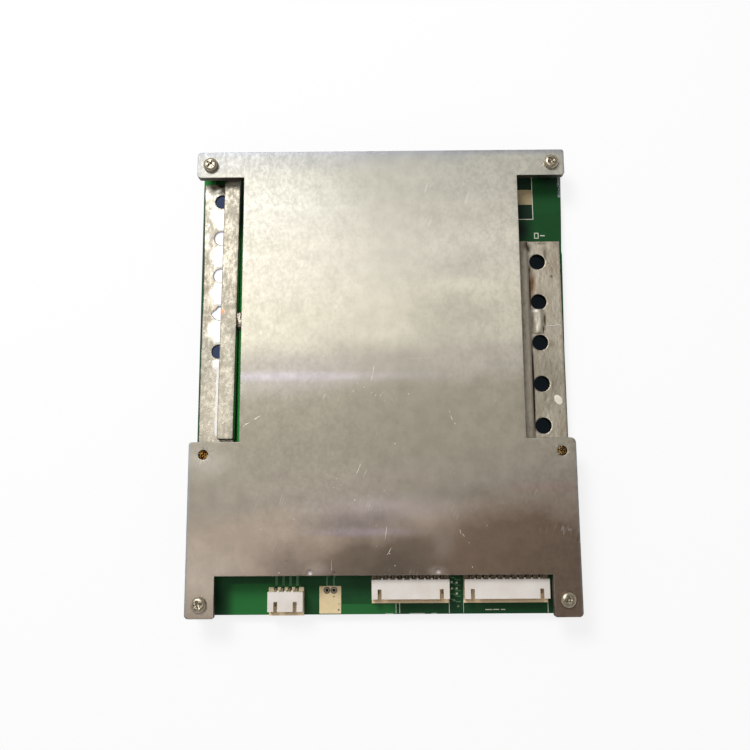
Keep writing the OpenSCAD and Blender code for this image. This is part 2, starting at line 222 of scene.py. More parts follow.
@effect("Mask", length=0.02, gap=0.002, turn=0.0, share=0.4)
def fine_scratches(where, length, gap, turn, share):
    """Thin broken lines, drawn out along one direction."""
    turned = node(where.tree, "VectorRotate", {"Vector": where, "Angle": turn},
                  rotation_type="Z_AXIS")
    x, y, z = split(turned)
    drawn = node(where.tree, "CombineXYZ", {0: x / gap, 1: y / length, 2: z})
    line = fall(abs(speckle(drawn, 1.0, 1.0) - 0.5), 0.004, 0.016)
    limit = 1.0 - share
    return line * ease(speckle(turned, 120.0, 1.0), limit, limit + 0.12)


@effect("Mask", centre=(0, 0, 0), reach=(1, 1, 1), ragged=0.2)
def soft_spot(where, centre, reach, ragged):
    """A soft-edged oval patch round a place on the part."""
    scaled = arrows("DIVIDE", arrows("SUBTRACT", where, centre), reach)
    far = node(where.tree, "VectorMath", {0: scaled}, operation="LENGTH")["Value"]
    return fall(far + (speckle(where, 110.0, 2.0) - 0.5) * ragged, 0.0, 1.0)


@effect("Mask", radius=0.0003, breakup=0.0012)
def edge_wear(where, radius, breakup):
    """The rubbed corners of a piece, where its rounded normal leaves the true one."""
    rounded = node(where.tree, "Bevel", {"Radius": radius}, samples=4)
    dot = arrows("DOT_PRODUCT", rounded, node(where.tree, "NewGeometry")["Normal"])["Value"]
    return fall(dot, 0.86, 0.995) * ease(speckle(where, 1.0 / breakup, 2.0), 0.35, 0.6)


@effect("Mask", size=0.001, share=0.3)
def small_pits(where, size, share):
    """Small round pits over a share of the surface."""
    cells = node(where.tree, "TexVoronoi", {"Vector": where, "Scale": 1.0 / size})
    pick = node(where.tree, "SeparateColor", {0: cells["Color"]})
    return fall(cells["Distance"], 0.06, 0.3) * (pick < share)


def new_material(name, **plain):
    """A material with plain shader sockets set, its shader's inputs and its object coordinates."""
    made = bpy.data.materials.new(name)
    made.use_nodes = True
    shader = made.node_tree.nodes["Principled BSDF"]
    for key, value in plain.items():
        shader.inputs[key.replace("_", " ").title().replace("Ior", "IOR")].default_value = value
    return made, shader.inputs, node(made.node_tree, "TexCoord")["Object"]


def dress(out, colour, rough, height, strength, distance=0.0002):
    """Feeds a shader its colour, its roughness and the bump of a height."""
    feed(out["Base Color"], colour)
    feed(out["Roughness"], rough)
    feed(out["Normal"], node(height.tree, "Bump", {
        "Height": height, "Strength": strength, "Distance": distance}))


def dimmed(hue, *parts):
    """A colour with its red, green and blue light each cut to a part."""
    light = tone(*hue) if len(hue) == 3 else hue
    return (*(value * part for value, part in zip(light, parts)), 1.0)


def shaded(colour, level):
    """A colour made lighter or darker by a level round 1."""
    grey = node(level.tree, "CombineColor", {0: level, 1: level, 2: level})
    return mix(1.0, colour, grey, "MULTIPLY")


def spotted(colour, where, spots, height):
    """A colour with soft patches: centre, reach, raggedness, colour and strength of each."""
    for (x, y), (wide, tall), ragged, hue, strength in spots:
        mask = soft_spot(where, centre=(x * MM, y * MM, height * MM),
                         reach=(wide * MM, tall * MM, 1.0), ragged=ragged)
        colour = mix(mask * strength, colour, hue)
    return colour


def worked_finish(name, base, second, metal, rough, blotch, grain, stretch=(1, 1, 1), dent=0.15,
                  worn=None, pits=0.0):
    """A finish with blotches of a second colour, fine grain, rubbed corners and pits."""
    made, out, where = new_material(name, metallic=metal)
    broad = cloud(where, size=blotch, contrast=2.2)
    fine = cloud(where, size=grain, stretch=stretch, shift=0.3, contrast=1.6)
    colour = mix(fine * 0.35, mix(broad, base, second), second)
    height = fine
    if worn:
        colour = mix(edge_wear(where), colour, worn)
    if pits:
        hole = small_pits(where, size=grain * 4, share=pits)
        colour = mix(hole * 0.6, colour, dimmed(second, 0.3, 0.3, 0.3))
        height = fine - hole * 2.0
    dress(out, colour, ease(broad, 0.1, 0.9, *rough), height, dent)
    return made


# ---------------------------------------------------------------- shapes

def circle(x, y, radius, steps, turn=1):
    """Points on a circle, clockwise if turn is -1."""
    return [Vector((x + radius * cos(turn * tau * i / steps),
                    y + radius * sin(turn * tau * i / steps))) for i in range(steps)]


def hole_loops(places, radius, steps):
    """Round holes as clockwise outlines, which a slab leaves open."""
    return [circle(x, y, radius, steps, turn=-1) for x, y in places]


def bridge(bm, below, above, closed=True):
    """Joins two rows of vertices with faces."""
    for i in range(len(below) if closed else len(below) - 1):
        k = (i + 1) % len(below)
        bm.faces.new((below[i], below[k], above[k], above[i]))


def rounded_loop(corners, gap):
    """A closed outline with its corners, each x, y and radius, rounded, and points every gap."""
    loop = []
    points = [Vector(corner[:2]) for corner in corners]
    for i, corner in enumerate(corners):
        here, radius = points[i], max(corner[2], 0.02)
        into = (here - points[i - 1]).normalized()
        away = (points[(i + 1) % len(points)] - here).normalized()
        turn = atan2(into.cross(away), into.dot(away))
        reach = radius * tan(abs(turn) / 2)
        side = Vector((-into.y, into.x)) * (1 if turn > 0 else -1)
        centre = here - into * reach + side * radius
        steps = max(2, round(abs(turn) * 4))
        for k in range(steps + 1):
            arm = (here - into * reach) - centre
            arm.rotate(Matrix.Rotation(turn * k / steps, 2))
            loop.append(centre + arm)
    return resampled(loop, gap)


def resampled(loop, gap):
    """The loop with its long sides cut into pieces no longer than gap."""
    out = []
    for i, point in enumerate(loop):
        step = loop[(i + 1) % len(loop)] - point
        parts = max(1, ceil(step.length / gap - 0.01))
        out += [point + step * k / parts for k in range(parts)]
    return out


def inset(loop, distance):
    """The loop moved by a distance into the material on its left."""
    out = []
    for i, point in enumerate(loop):
        into = (point - loop[i - 1]).normalized()
        away = (loop[(i + 1) % len(loop)] - point).normalized()
        side = Vector((-into.y - away.y, into.x + away.x))
        out.append(point + side * (distance / max(side.length_squared / 2, 0.6)))
    return out


def inside(points, loops):
    """Which of the points lie in the material that the loops bound."""
    within = np.zeros(len(points), bool)
    for loop in loops:
        ends = np.array([tuple(p) for p in loop])
        for (x0, y0), (x1, y1) in zip(ends, np.roll(ends, -1, 0)):
            if y0 != y1:
                crossing = (y0 > points[:, 1]) != (y1 > points[:, 1])
                at = (x1 - x0) * (points[:, 1] - y0) / (y1 - y0) + x0
                within ^= crossing & (points[:, 0] < at)
    return within


def clearance(points, loops):
    """Each point's distance to the nearest side of the loops."""
    best = np.full(len(points), 1e9)
    for loop in loops:
        ends = np.array([tuple(p) for p in loop])
        for start, end in zip(ends, np.roll(ends, -1, 0)):
            along = end - start
            part = np.clip((points - start) @ along / max(along @ along, 1e-12), 0, 1)
            best = np.minimum(best, np.linalg.norm(points - start - part[:, None] * along, axis=1))
    return best


def net_points(loops, gap, dense):
    """A triangular net of points inside the loops, finer inside each dense circle."""
    ends = np.array([tuple(p) for p in loops[0]])
    low, high = ends.min(0), ends.max(0)

    def lattice(step, low, high):
        lines = []
        for i, y in enumerate(np.arange(low[1] + step / 2, high[1], step * 0.866)):
            row = np.arange(low[0] + step * (0.25 + 0.5 * (i % 2)), high[0], step)
            lines.append(np.stack([row, np.full(len(row), y)], 1))
        return np.concatenate(lines)

    points = lattice(gap, low, high)
    sets = []
    for x, y, radius, step in dense:
        centre = np.array([x, y])
        points = points[np.linalg.norm(points - centre, axis=1) > radius]
        fine = lattice(step, centre - radius, centre + radius)
        fine = fine[np.linalg.norm(fine - centre, axis=1) < radius - step / 2]
        sets.append(fine[inside(fine, loops) & (clearance(fine, loops) > step * 0.5)])
    points = points[inside(points, loops)]
    points = points[clearance(points, loops) > gap * 0.45]
    return np.concatenate([points] + sets)


def net(bm, rims, height, gap=None, dense=(), upward=True):
    """Fills the space between rims of vertices with triangles, over a net of points."""
    loops = [[v.co.xy for v in rim] for rim in rims]
    verts = [v for rim in rims for v in rim]
    edges, start = [], 0
    for rim in rims:
        edges += [(start + i, start + (i + 1) % len(rim)) for i in range(len(rim))]
        start += len(rim)
    flat = [v.co.xy.copy() for v in verts]
    if gap:
        for x, y in net_points(loops, gap, dense):
            verts.append(bm.verts.new((x, y, height(x, y))))
            flat.append(Vector((x, y)))
    made = geometry.delaunay_2d_cdt(flat, edges, [], 1, 1e-6)
    origin = [group[0] if group else None for group in made[3]]
    middles = np.array([sum((made[0][i] for i in face), Vector((0, 0))) / 3 for face in made[2]])
    for face, kept in zip(made[2], inside(middles, loops)):
        if kept:
            corner = [verts[origin[i]] for i in face]
            bm.faces.new(corner if upward else corner[::-1])


def slab(loops, low, high, gap, top_round, low_round, lift=None, dense=(), steps=3):
    """A flat piece with holes, rounded along all its edges, with a net of points over its top."""
    bm = bmesh.new()
    lift = lift or (lambda x, y: 0.0)
    angles = [pi / 2 * k / steps for k in range(steps + 1)]
    rows = [(low_round * (1 - sin(a)), low + low_round * (1 - cos(a)), 0) for a in angles]
    rows += [(top_round * (1 - cos(a)), high - top_round * (1 - sin(a)), 1) for a in angles]
    first, last = [], []
    for loop in loops:
        rings = []
        for distance, z, lifted in rows:
            rings.append([bm.verts.new((p.x, p.y, z + lifted * lift(p.x, p.y)))
                          for p in inset(loop, distance)])
        for below, above in zip(rings, rings[1:]):
            bridge(bm, below, above)
        first.append(rings[0])
        last.append(rings[-1])
    net(bm, last, lambda x, y: high + lift(x, y), gap, dense)
    net(bm, first, None, upward=False)
    return bm


def tile(bm, loop, low, high):
    """A thin flat shape on the board."""
    top = [bm.verts.new((p[0], p[1], high)) for p in loop]
    foot = [bm.verts.new((p[0], p[1], low)) for p in loop]
    bm.faces.new(top)
    bm.faces.new(foot[::-1])
    bridge(bm, foot, top)


def ribbon(bm, path, width, low, high, closed=False):
    """A thin line of a given width along a path."""
    path = [Vector(p) for p in path]
    left, right = [], []
    for i, point in enumerate(path):
        before = path[i - 1] if (closed or i) else point
        after = path[(i + 1) % len(path)] if (closed or i < len(path) - 1) else point
        into = (point - before).normalized() if point != before else (after - point).normalized()
        away = (after - point).normalized() if point != after else into
        side = Vector((-into.y - away.y, into.x + away.x))
        side *= width / 2 / max(side.length_squared / 2, 0.4)
        left.append(point + side)
        right.append(point - side)
    rings = [[bm.verts.new((p.x, p.y, z)) for p in side]
             for side, z in ((left, low), (left, high), (right, high), (right, low))]
    for a, b in zip(rings, rings[1:] + rings[:1]):
        bridge(bm, a, b, closed)
    if not closed:
        bm.faces.new([ring[0] for ring in rings])
        bm.faces.new([ring[-1] for ring in rings][::-1])


def lathe(bm, x, y, profile, steps):
    """A round shape from a profile of radius and height; a last radius of 0 closes it."""
    tip = profile[-1] if not profile[-1][0] else None
    rings = [[bm.verts.new((p.x, p.y, z)) for p in circle(x, y, radius, steps)]
             for radius, z in profile if radius]
    for below, above in zip(rings, rings[1:]):
        bridge(bm, below, above)
    if tip:
        top = bm.verts.new((x, y, tip[1]))
        for i in range(steps):
            bm.faces.new((rings[-1][i], rings[-1][(i + 1) % steps], top))


def bumps(x, y, size, seed=0.0):
    """Smooth random height from -1 to 1 at a place, with features of a given size."""
    return noise.noise(Vector((x / size, y / size, seed)))


def ramp(value):
    """The value held between 0 and 1."""
    return max(0.0, min(1.0, value))


def piece(name, bm, material, stands_for=(), sharp=None, weighted=False):
    """Turns a mesh in millimetres into a piece that rides on the part."""
    bmesh.ops.recalc_face_normals(bm, faces=bm.faces)
    bmesh.ops.scale(bm, vec=(MM, MM, MM), verts=bm.verts)
    mesh = bpy.data.meshes.new(name)
    bm.to_mesh(mesh)
    bm.free()
    made = bpy.data.objects.new(name, mesh)
    bpy.context.scene.collection.objects.link(made)
    mesh.materials.append(material)
    mesh.shade_smooth()
    if sharp:
        mesh.set_sharp_from_angle(angle=radians(sharp))
    if weighted:
        made.modifiers.new("Even normals", "WEIGHTED_NORMAL").keep_sharp = True
    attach(made, "root")
    if stands_for:
        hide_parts(*stands_for)
    return made


def softened(name, source, width, material, pick=None):
    """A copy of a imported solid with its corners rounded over, which stands for it."""
    bm = bmesh.new()
    bm.from_mesh(NODES[source].data)
    bmesh.ops.scale(bm, vec=(1 / MM, 1 / MM, 1 / MM), verts=bm.verts)
    bmesh.ops.remove_doubles(bm, verts=bm.verts, dist=0.002)
    bmesh.ops.dissolve_limit(bm, angle_limit=radians(0.6), verts=bm.verts, edges=bm.edges)
    corners = [e for e in bm.edges if e.is_manifold
               and abs(e.calc_face_angle(0.0)) > ROUNDED_FROM and (not pick or pick(e))]
    if width:
        bmesh.ops.bevel(bm, geom=corners, offset=width, offset_type="OFFSET", segments=2,
                        profile=0.5, affect="EDGES", clamp_overlap=True)
    return piece(name, bm, material, [source], sharp=50, weighted=True)


# ---------------------------------------------------------------- settings

def length(label, text, default):
    """A length in metres."""
    return bpy.props.FloatProperty(name=label, description=text, default=default, min=0.0,
                                   subtype="DISTANCE", unit="LENGTH", precision=5)


def colour(label, text, default):
    """A colour with no alpha."""
    return bpy.props.FloatVectorProperty(name=label, description=text, default=default[:3],
                                         size=3, min=0.0, max=1.0, subtype="COLOR")


def share(label, text, default):
    """A share between 0 and 1."""
    return bpy.props.FloatProperty(name=label, description=text, default=default, min=0.0,
                                   max=1.0, subtype="FACTOR")


def watts(label, text, default):
    """The power of a lamp."""
    return bpy.props.FloatProperty(name=label, description=text, default=default, min=0.0,
                                   max=100.0, unit="POWER")


class PlateSettings(bpy.types.PropertyGroup):
    """Sizes and colours of the rolled plate."""
    dull: colour("Dull metal", "Colour of the tarnished aluminium", tone(157, 143, 129))
    edge_round: length("Edge rounding", "Radius of the plate's broken edges", 0.00022)
    net_gap: length("Net", "Distance between the points over the plate", 0.0022)
    dent_depth: length("Dent depth", "Depth of the two deep dents by the cut-out", 0.00016)
    waviness: length("Waviness", "Height of the plate's slow waves", 0.00005)


class BoardSettings(bpy.types.PropertyGroup):
    """Colours of the circuit board."""
    mask: colour("Solder mask", "Green of the solder mask over bare laminate", tone(16, 64, 28))
    pour: colour("Copper pour", "Green of the solder mask over copper", tone(22, 78, 36))
    print_tone: colour("White print", "Colour of the printed lines", tone(214, 214, 198))
    laminate: colour("Laminate", "Colour of the board's cut sides", tone(146, 158, 104))


class BusbarSettings(bpy.types.PropertyGroup):
    """Sizes and colours of the strips, bars and solder."""
    tin: colour("Tin", "Colour of the tinned copper", tone(166, 161, 149))
    tin_dull: colour("Dull tin", "Colour of the oxidised tin", tone(146, 140, 126))
    lumps: length("Lumps", "Height of the lumps in the tin", 0.00009)
    net_gap: length("Net", "Distance between the points over the strips", 0.00055)


class HeaderSettings(bpy.types.PropertyGroup):
    """Sizes and colours of the headers."""
    nylon: colour("Nylon", "Colour of the header housings", tone(232, 226, 220))
    shade: colour("Aged nylon", "Second colour of the housings", tone(220, 210, 198))
    edge_round: length("Edge rounding", "Radius of the moulded edges", 0.00012)


class StageSettings(bpy.types.PropertyGroup):
    """Lamps and floor."""
    key_power: watts("Key lamp", "Power of the key lamp in watts", 5.8)
    key_size: length("Key lamp size", "Side of the square key lamp", 0.32)
    fill_power: watts("Fill lamp", "Power of the fill lamp in watts", 0.8)
    zenith: share("Zenith", "Brightness of the surroundings overhead", 0.2)
    horizon: share("Horizon", "Brightness of the surroundings at the horizon", 0.6)


SETTINGS = {
    "bms_plate": PlateSettings, "bms_board": BoardSettings, "bms_busbar": BusbarSettings,
    "bms_header": HeaderSettings, "bms_stage": StageSettings,
}


def rgba(value):
    """A colour out of the settings, with its alpha."""
    return (*value, 1.0)


# ---------------------------------------------------------------- plate

PLATE_OUTLINE = [
    (-69.2, -85.5, 1.4), (-59, -85.5, 0.7), (-59, -71.1, 0.25), (59, -71.1, 0.25),
    (59, -85.5, 0.9), (69, -85.5, 1.5), (69, -23.4, 1.9), (51.3, -23.4, 0.25),
    (51.3, 75.4, 0.25), (69.2, 75.4, 1.2), (69.2, 85.5, 1.0), (-69, 85.5, 1.4),
    (-69, 75.4, 1.4), (-51.3, 75.4, 0.25), (-51.3, -24.2, 0.25), (-69.25, -24.2, 1.0),
]
# Dents by the cut-out and nicks along the edge: x, y, radius, share of the dent depth
PLATE_DENTS = [
    (-25.7, -70.2, 1.5, 1.0), (18.9, -69.9, 1.4, 1.0), (-17.2, -70.4, 1.0, 0.6),
    (68.6, -59.5, 0.9, 0.7), (-33.8, -66.2, 0.5, 0.4), (45.5, -70.6, 0.8, 0.5),
]
# Painted reflection and shade on the plate, in bands that are lightest in its middle and darker
# towards its foot, from its foot upwards: where each colour starts to show, where it is full, and
# the colour
PLATE_PAINTED_BANDS = [
    (-54, -42, (143, 135, 123)), (-40, -26, (139, 133, 119)), (-18, -10, (141, 135, 121)),
    (-8, 1, (158, 152, 141)), (4, 17, (182, 177, 161)), (22, 46, (180, 175, 163)),
    (46, 60, (170, 166, 154)), (62, 70, (163, 160, 149)), (76, 84, (152, 151, 146)),
]
# Painted highlights and shade on it: a lilac highlight band, bright spots at the dents, and darker
# shade towards the foot; centre, reach, raggedness, colour and strength
PLATE_PAINTED_PATCHES = [
    ((-66, -72), (26, 18), 0.4, (178, 166, 152), 1.0),
    ((-34, 64), (42, 17), 0.3, (186, 184, 176), 0.45),
    ((28, 22), (32, 13), 0.4, (164, 159, 146), 0.6),
    ((30, 40), (22, 8), 0.4, (160, 156, 144), 0.45),
    ((28, -43), (20, 6), 0.4, (124, 117, 106), 0.45),
    ((-64, -31), (15, 9), 0.3, (168, 161, 150), 0.7),
    ((-30, 0), (30, 12), 0.4, (166, 158, 154), 0.4),
    ((0, -48), (40, 7), 0.4, (158, 146, 148), 0.5),
    ((10, -76), (62, 30), 0.25, (115, 101, 88), 2.2),
    ((50, -70), (44, 34), 0.25, (117, 100, 86), 2.2),
    ((2, -68), (25, 12), 0.45, (88, 78, 68), 0.75),
    ((-33, -66), (15, 11), 0.5, (112, 98, 90), 0.6),
    ((19, -70), (5, 3), 0.6, (180, 166, 158), 0.35),
    ((-23, -69), (6, 4), 0.6, (176, 162, 154), 0.35),
    ((-10, -53), (30, 6), 0.5, (118, 110, 106), 0.75),
    ((-7, -56.2), (28, 2.4), 0.2, (150, 138, 148), 0.5),
    ((21, -60), (6, 9), 0.4, (140, 128, 116), 0.5),
    ((58, -41), (24, 3.2), 0.3, (152, 130, 120), 0.6),
    # Painted reflection: the lilac highlight band
    ((-58, -0.6), (96, 2.8), 0.2, (182, 175, 182), 0.7),
    # Painted highlights on the two deep dents
    ((-25.6, -70.0), (1.3, 1.2), 0.5, (222, 212, 218), 0.75),
    ((18.8, -69.8), (1.3, 1.1), 0.5, (210, 202, 202), 0.65),
]


# Cuts in its skin: where each starts and ends, and its width
PLATE_CUTS = [
    (-50.7, -19.4, -47.0, -16.6, 0.22), (-47.2, -16.8, -43.4, -14.7, 0.2),
    (-2.7, 3.6, -3.4, -0.2, 0.24), (-3.3, 0.2, -4.1, -3.2, 0.2), (-3.0, -8.8, -1.6, -6.4, 0.16),
    (-1.0, -8.4, 0.8, -6.0, 0.14), (-4.4, -7.6, -3.4, -6.2, 0.12), (24.5, -15.0, 25.2, -17.2, 0.3),
    (24.0, -13.4, 24.3, -14.6, 0.2), (25.6, -17.8, 26.4, -18.6, 0.28),
    (26.8, -55.2, 27.4, -57.4, 0.26), (27.7, -56.8, 28.6, -58.2, 0.28),
    (-9.6, -36.4, -7.6, -32.0, 0.16), (-7.2, -37.6, -5.4, -33.8, 0.14),
    (1.4, -53.6, 0.6, -59.4, 0.2), (0.9, -64.6, 3.4, -61.0, 0.16),
    (-18.2, -64.4, -18.0, -70.6, 0.14), (8.4, 5.4, 19.6, 6.0, 0.1), (38.0, 24.0, 40.5, 27.5, 0.1),
    (-9.4, 58.0, -8.8, 63.4, 0.1),
]
# Places of the larger specks where the skin is cut
PLATE_SPECKS = [
    (-8.8, -3.2), (-12.0, -7.5), (-8.7, -5.7), (-7.6, -7.5), (-10.4, -6.2), (-6.4, -4.8),
    (-19.6, -36.0), (-18.2, -38.6), (-16.4, -37.4), (-14.8, -39.8), (-17.4, -40.6), (-43.0, -55.0),
    (-36.4, -70.0), (2.2, -63.6), (-2.2, -61.0), (4.0, -67.8), (31.0, -68.4), (-50.0, 22.0),
    (-48.6, -69.4),
]


def plate_finish(settings):
    """Rolled aluminium: vertical rolling grain, bands and patches of painted reflection and shade,
    a painted edge line, painted shade on its sides, scratches and rubbed edges.
    """
    made, out, where = new_material("Rolled aluminium", metallic=1.0)
    x, y, z = split(where)
    rolled = cloud(where, size=0.0012, stretch=(1.0, 0.8, 1.0), contrast=2.0)
    fine = cloud(where, size=0.0005, shift=0.5, contrast=2.0)
    scuffed = cloud(where, size=0.0046, stretch=(1.0, 0.9, 1.0), shift=6.0, contrast=2.2)
    wander = (cloud(where, size=0.022, shift=1.7, contrast=1.5) - 0.5) * 0.007
    high = y + wander - x * 0.06
    colour = rgba(settings.dull)
    # Painted reflection and shade, band by band
    for start, end, hue in PLATE_PAINTED_BANDS:
        colour = mix(ease(high, start * MM, end * MM), colour, hue)
    # Painted light: the plate's upper part made lighter towards the right
    painted_light_right = ease(x, -0.005, 0.065, 1.0, 1.36)
    colour = shaded(colour, ease(y, -0.02, -0.05, painted_light_right, 1.0))
    # Painted highlights and shade in patches
    colour = spotted(colour, where, PLATE_PAINTED_PATCHES, PLATE_TOP)
    # Painted reflection: a blue-grey line along the plate's outer edges
    rim = ease(y, 0.0828, 0.0852).most(ease(abs(x), 0.0680, 0.0690))
    colour = mix(rim * 0.6, colour, (146, 148, 156))
    # Painted shade on the plate's sides
    cut = fall(abs(facing_up(where)), 0.2, 0.75)
    colour = mix(cut, colour, (84, 78, 72))
    grain = rolled * 0.65 + fine * 0.35
    colour = shaded(colour, ease(grain * 0.65 + scuffed * 0.35, 0.2, 0.8, 0.9, 1.1))
    lines = fine_scratches(where, length=0.03, gap=0.0026, turn=0.35, share=0.36).most(
        fine_scratches(where, length=0.02, gap=0.0034, turn=-0.9, share=0.3))
    colour = mix(lines * 0.12, colour, (250, 246, 238))
    worn = edge_wear(where, radius=0.0004, breakup=0.002)
    colour = mix(worn * 0.5, colour, (246, 244, 240))
    dress(out, colour, ease(grain, 0.15, 0.85, 0.46, 0.58), grain - lines, 0.07, 0.0001)
    return made


def plate_lift(settings):
    """The plate's slow waves, its dents and the raised rim round each of them."""
    wave, depth = settings.waviness / MM, settings.dent_depth / MM

    def lift(x, y):
        height = wave * bumps(x, y, 34, 3.1)
        for cx, cy, radius, part in PLATE_DENTS:
            far = hypot(x - cx, y - cy) / radius
            if far < 1.6:
                height -= part * depth * (exp(-3 * far * far) - 0.12 * exp(-9 * (far - 0.95) ** 2))
        return height
    return lift


class BMS_OT_plate(bpy.types.Operator):
    """Builds the notched plate with its dents, and the scratches on it"""
    bl_idname = "bms.plate"
    bl_label = "Rolled plate"

    def execute(self, context):
        settings = context.scene.bms_plate
        material = plate_finish(settings)
        gap = settings.net_gap / MM
        loops = [rounded_loop(PLATE_OUTLINE, gap)]
        loops += hole_loops(CORNERS + OPEN_SPACERS, PLATE_HOLE_R, 36)
        lift = plate_lift(settings)
        dense = [(x, y, radius * 1.7, 0.3) for x, y, radius, part in PLATE_DENTS]
        bm = slab(loops, PLATE_LOW, PLATE_TOP, gap, settings.edge_round / MM, 0.2, lift, dense)
        piece("rolled_plate", bm, material, ["heatsink_plate"], weighted=True)
        self.scratch_marks(lift)
        return {"FINISHED"}

    def scratch_marks(self, lift):
        """Bright slivers where the skin of the plate is cut."""
        material = worked_finish("Cut aluminium", (236, 230, 218), (214, 206, 192), 1.0,
                                 (0.4, 0.5), 0.002, 0.0003)
        random.seed(4)
        bm = bmesh.new()
        for x0, y0, x1, y1, width in PLATE_CUTS:
            self.sliver(bm, lift, x0, y0, x1, y1, 0.6 * width)
        strewn = [(random.uniform(-48, 48), random.uniform(-66, 70)) for i in range(26)]
        for x, y in PLATE_SPECKS + strewn:
            angle = random.uniform(0, pi)
            reach = random.uniform(0.12, 0.32)
            self.sliver(bm, lift, x - reach * cos(angle), y - reach * sin(angle),
                        x + reach * cos(angle), y + reach * sin(angle), reach * 0.9)
        piece("plate_scratches", bm, material)

    @staticmethod
    def sliver(bm, lift, x0, y0, x1, y1, width):
        """A lens-shaped shaving of light metal, just proud of the plate."""
        start, end = Vector((x0, y0)), Vector((x1, y1))
        side = Vector((y0 - y1, x1 - x0)).normalized() * width / 2
        left, right = [], []
        for k in range(7):
            part = k / 6
            half = side * (sin(pi * part) ** 0.6)
            middle = start.lerp(end, part) + side * 0.8 * bumps(x0, part * 4, 1.0, y0)
            left.append(middle + half)
            right.append(middle - half)
        loop = left[:1] + right[1:-1] + left[-1:] + left[-2:0:-1]
        rim = [bm.verts.new((p.x, p.y, PLATE_TOP + lift(p.x, p.y) - 0.004)) for p in loop]
        spine = []
        for part in (0.3, 0.7):
            x, y = start.lerp(end, part)
            spine.append(bm.verts.new((x, y, PLATE_TOP + lift(x, y) + 0.012)))
        for i in range(len(rim)):
            k = (i + 1) % len(rim)
            middle = (rim[i].co.xy + rim[k].co.xy) / 2
            near = spine[0] if (middle - start).length < (middle - end).length else spine[1]
            bm.faces.new((rim[i], rim[k], near))
        # The point half-way along each side joins both ends of the spine
        for halfway in (rim[3], rim[9]):
            bm.faces.new((halfway, spine[0], spine[1]))


# ---------------------------------------------------------------- circuit board

# The board's outline; its right side was snapped off a panel and is not quite straight
BOARD_OUTLINE = [
    (-68.35, -85.2, 0.8), (68.4, -85.2, 0.8), (68.45, 10, 9), (68.8, 30, 9), (69.1, 47.4, 2),
    (68.9, 48.6, 0.3), (69.3, 60, 9), (69.8, 79.5, 0.5), (69.0, 85.2, 0.8), (-68.35, 85.2, 0.8),
]
# Fields on the board: the darker copper pour by the shunt pad, a darker field along the front of
# the large headers, and four fields of painted light where shade falls; each has two corners and
# the fades at the left and at the top, in metres, then colour and strength
BOARD_POUR_AND_LIT_FIELDS = [
    ((0.0500, 0.0614), (0.0582, 0.0900), (0.0003, 0.0003), (16, 34, 26), 0.85),
    ((0.0060, -0.0900), (0.0700, -0.0783), (0.0003, 0.0008), (16, 40, 28), 0.4),
    # Painted light: the next four fields are lit green, in the cut-out, beside the left bar and
    # under the left lug
    ((-0.0152, -0.0900), (0.0042, -0.0815), (0.0003, 0.0003), (33, 98, 46), 1.0),
    ((-0.0566, -0.0900), (-0.0300, -0.0738), (0.0040, 0.0012), (31, 104, 46), 1.0),
    ((-0.0539, -0.0260), (-0.0511, 0.0620), (0.0003, 0.0160), (66, 206, 88), 1.0),
    ((-0.0690, 0.0755), (-0.0640, 0.0810), (0.0003, 0.0003), (40, 140, 62), 1.0),
]
# Painted shade on it, by the shunt pad's box, under the plate's top right corner and by the
# cut-out's left edge: centre, reach, raggedness, colour and strength
BOARD_PAINTED_SHADE = [
    ((54.0, 57.5), (6, 7), 0.2, (12, 30, 22), 1.0),
    ((66.0, 79.5), (9, 8), 0.2, (10, 32, 20), 1.0),
    ((-60.0, -80.0), (5, 9), 0.2, (14, 42, 26), 0.9),
]
# The other two fades of a field, in metres
FIELD_FADE = 0.0003
SPARE_HOLES = [(-20.3, -76.8), (-17.8, -76.8)]
# Painted shade on the cable holes' walls, and how far the walls with painted light reach, in metres
LEFT_WALL_SHADE, RIGHT_WALL_SHADE = (30, 32, 40), (26, 25, 22)
PAINTED_LIGHT_HOLES = (0.0190, 0.0605)


def wall_shade_and_light(where, plain):
    """Hole walls in painted shade, but painted light, pale lilac, in the second to fourth hole on
    the left.
    """
    x, y, z = split(where)
    low, high = PAINTED_LIGHT_HOLES
    return mix((x < 0.0) * (y < high) * (y > low), plain, (226, 220, 240))


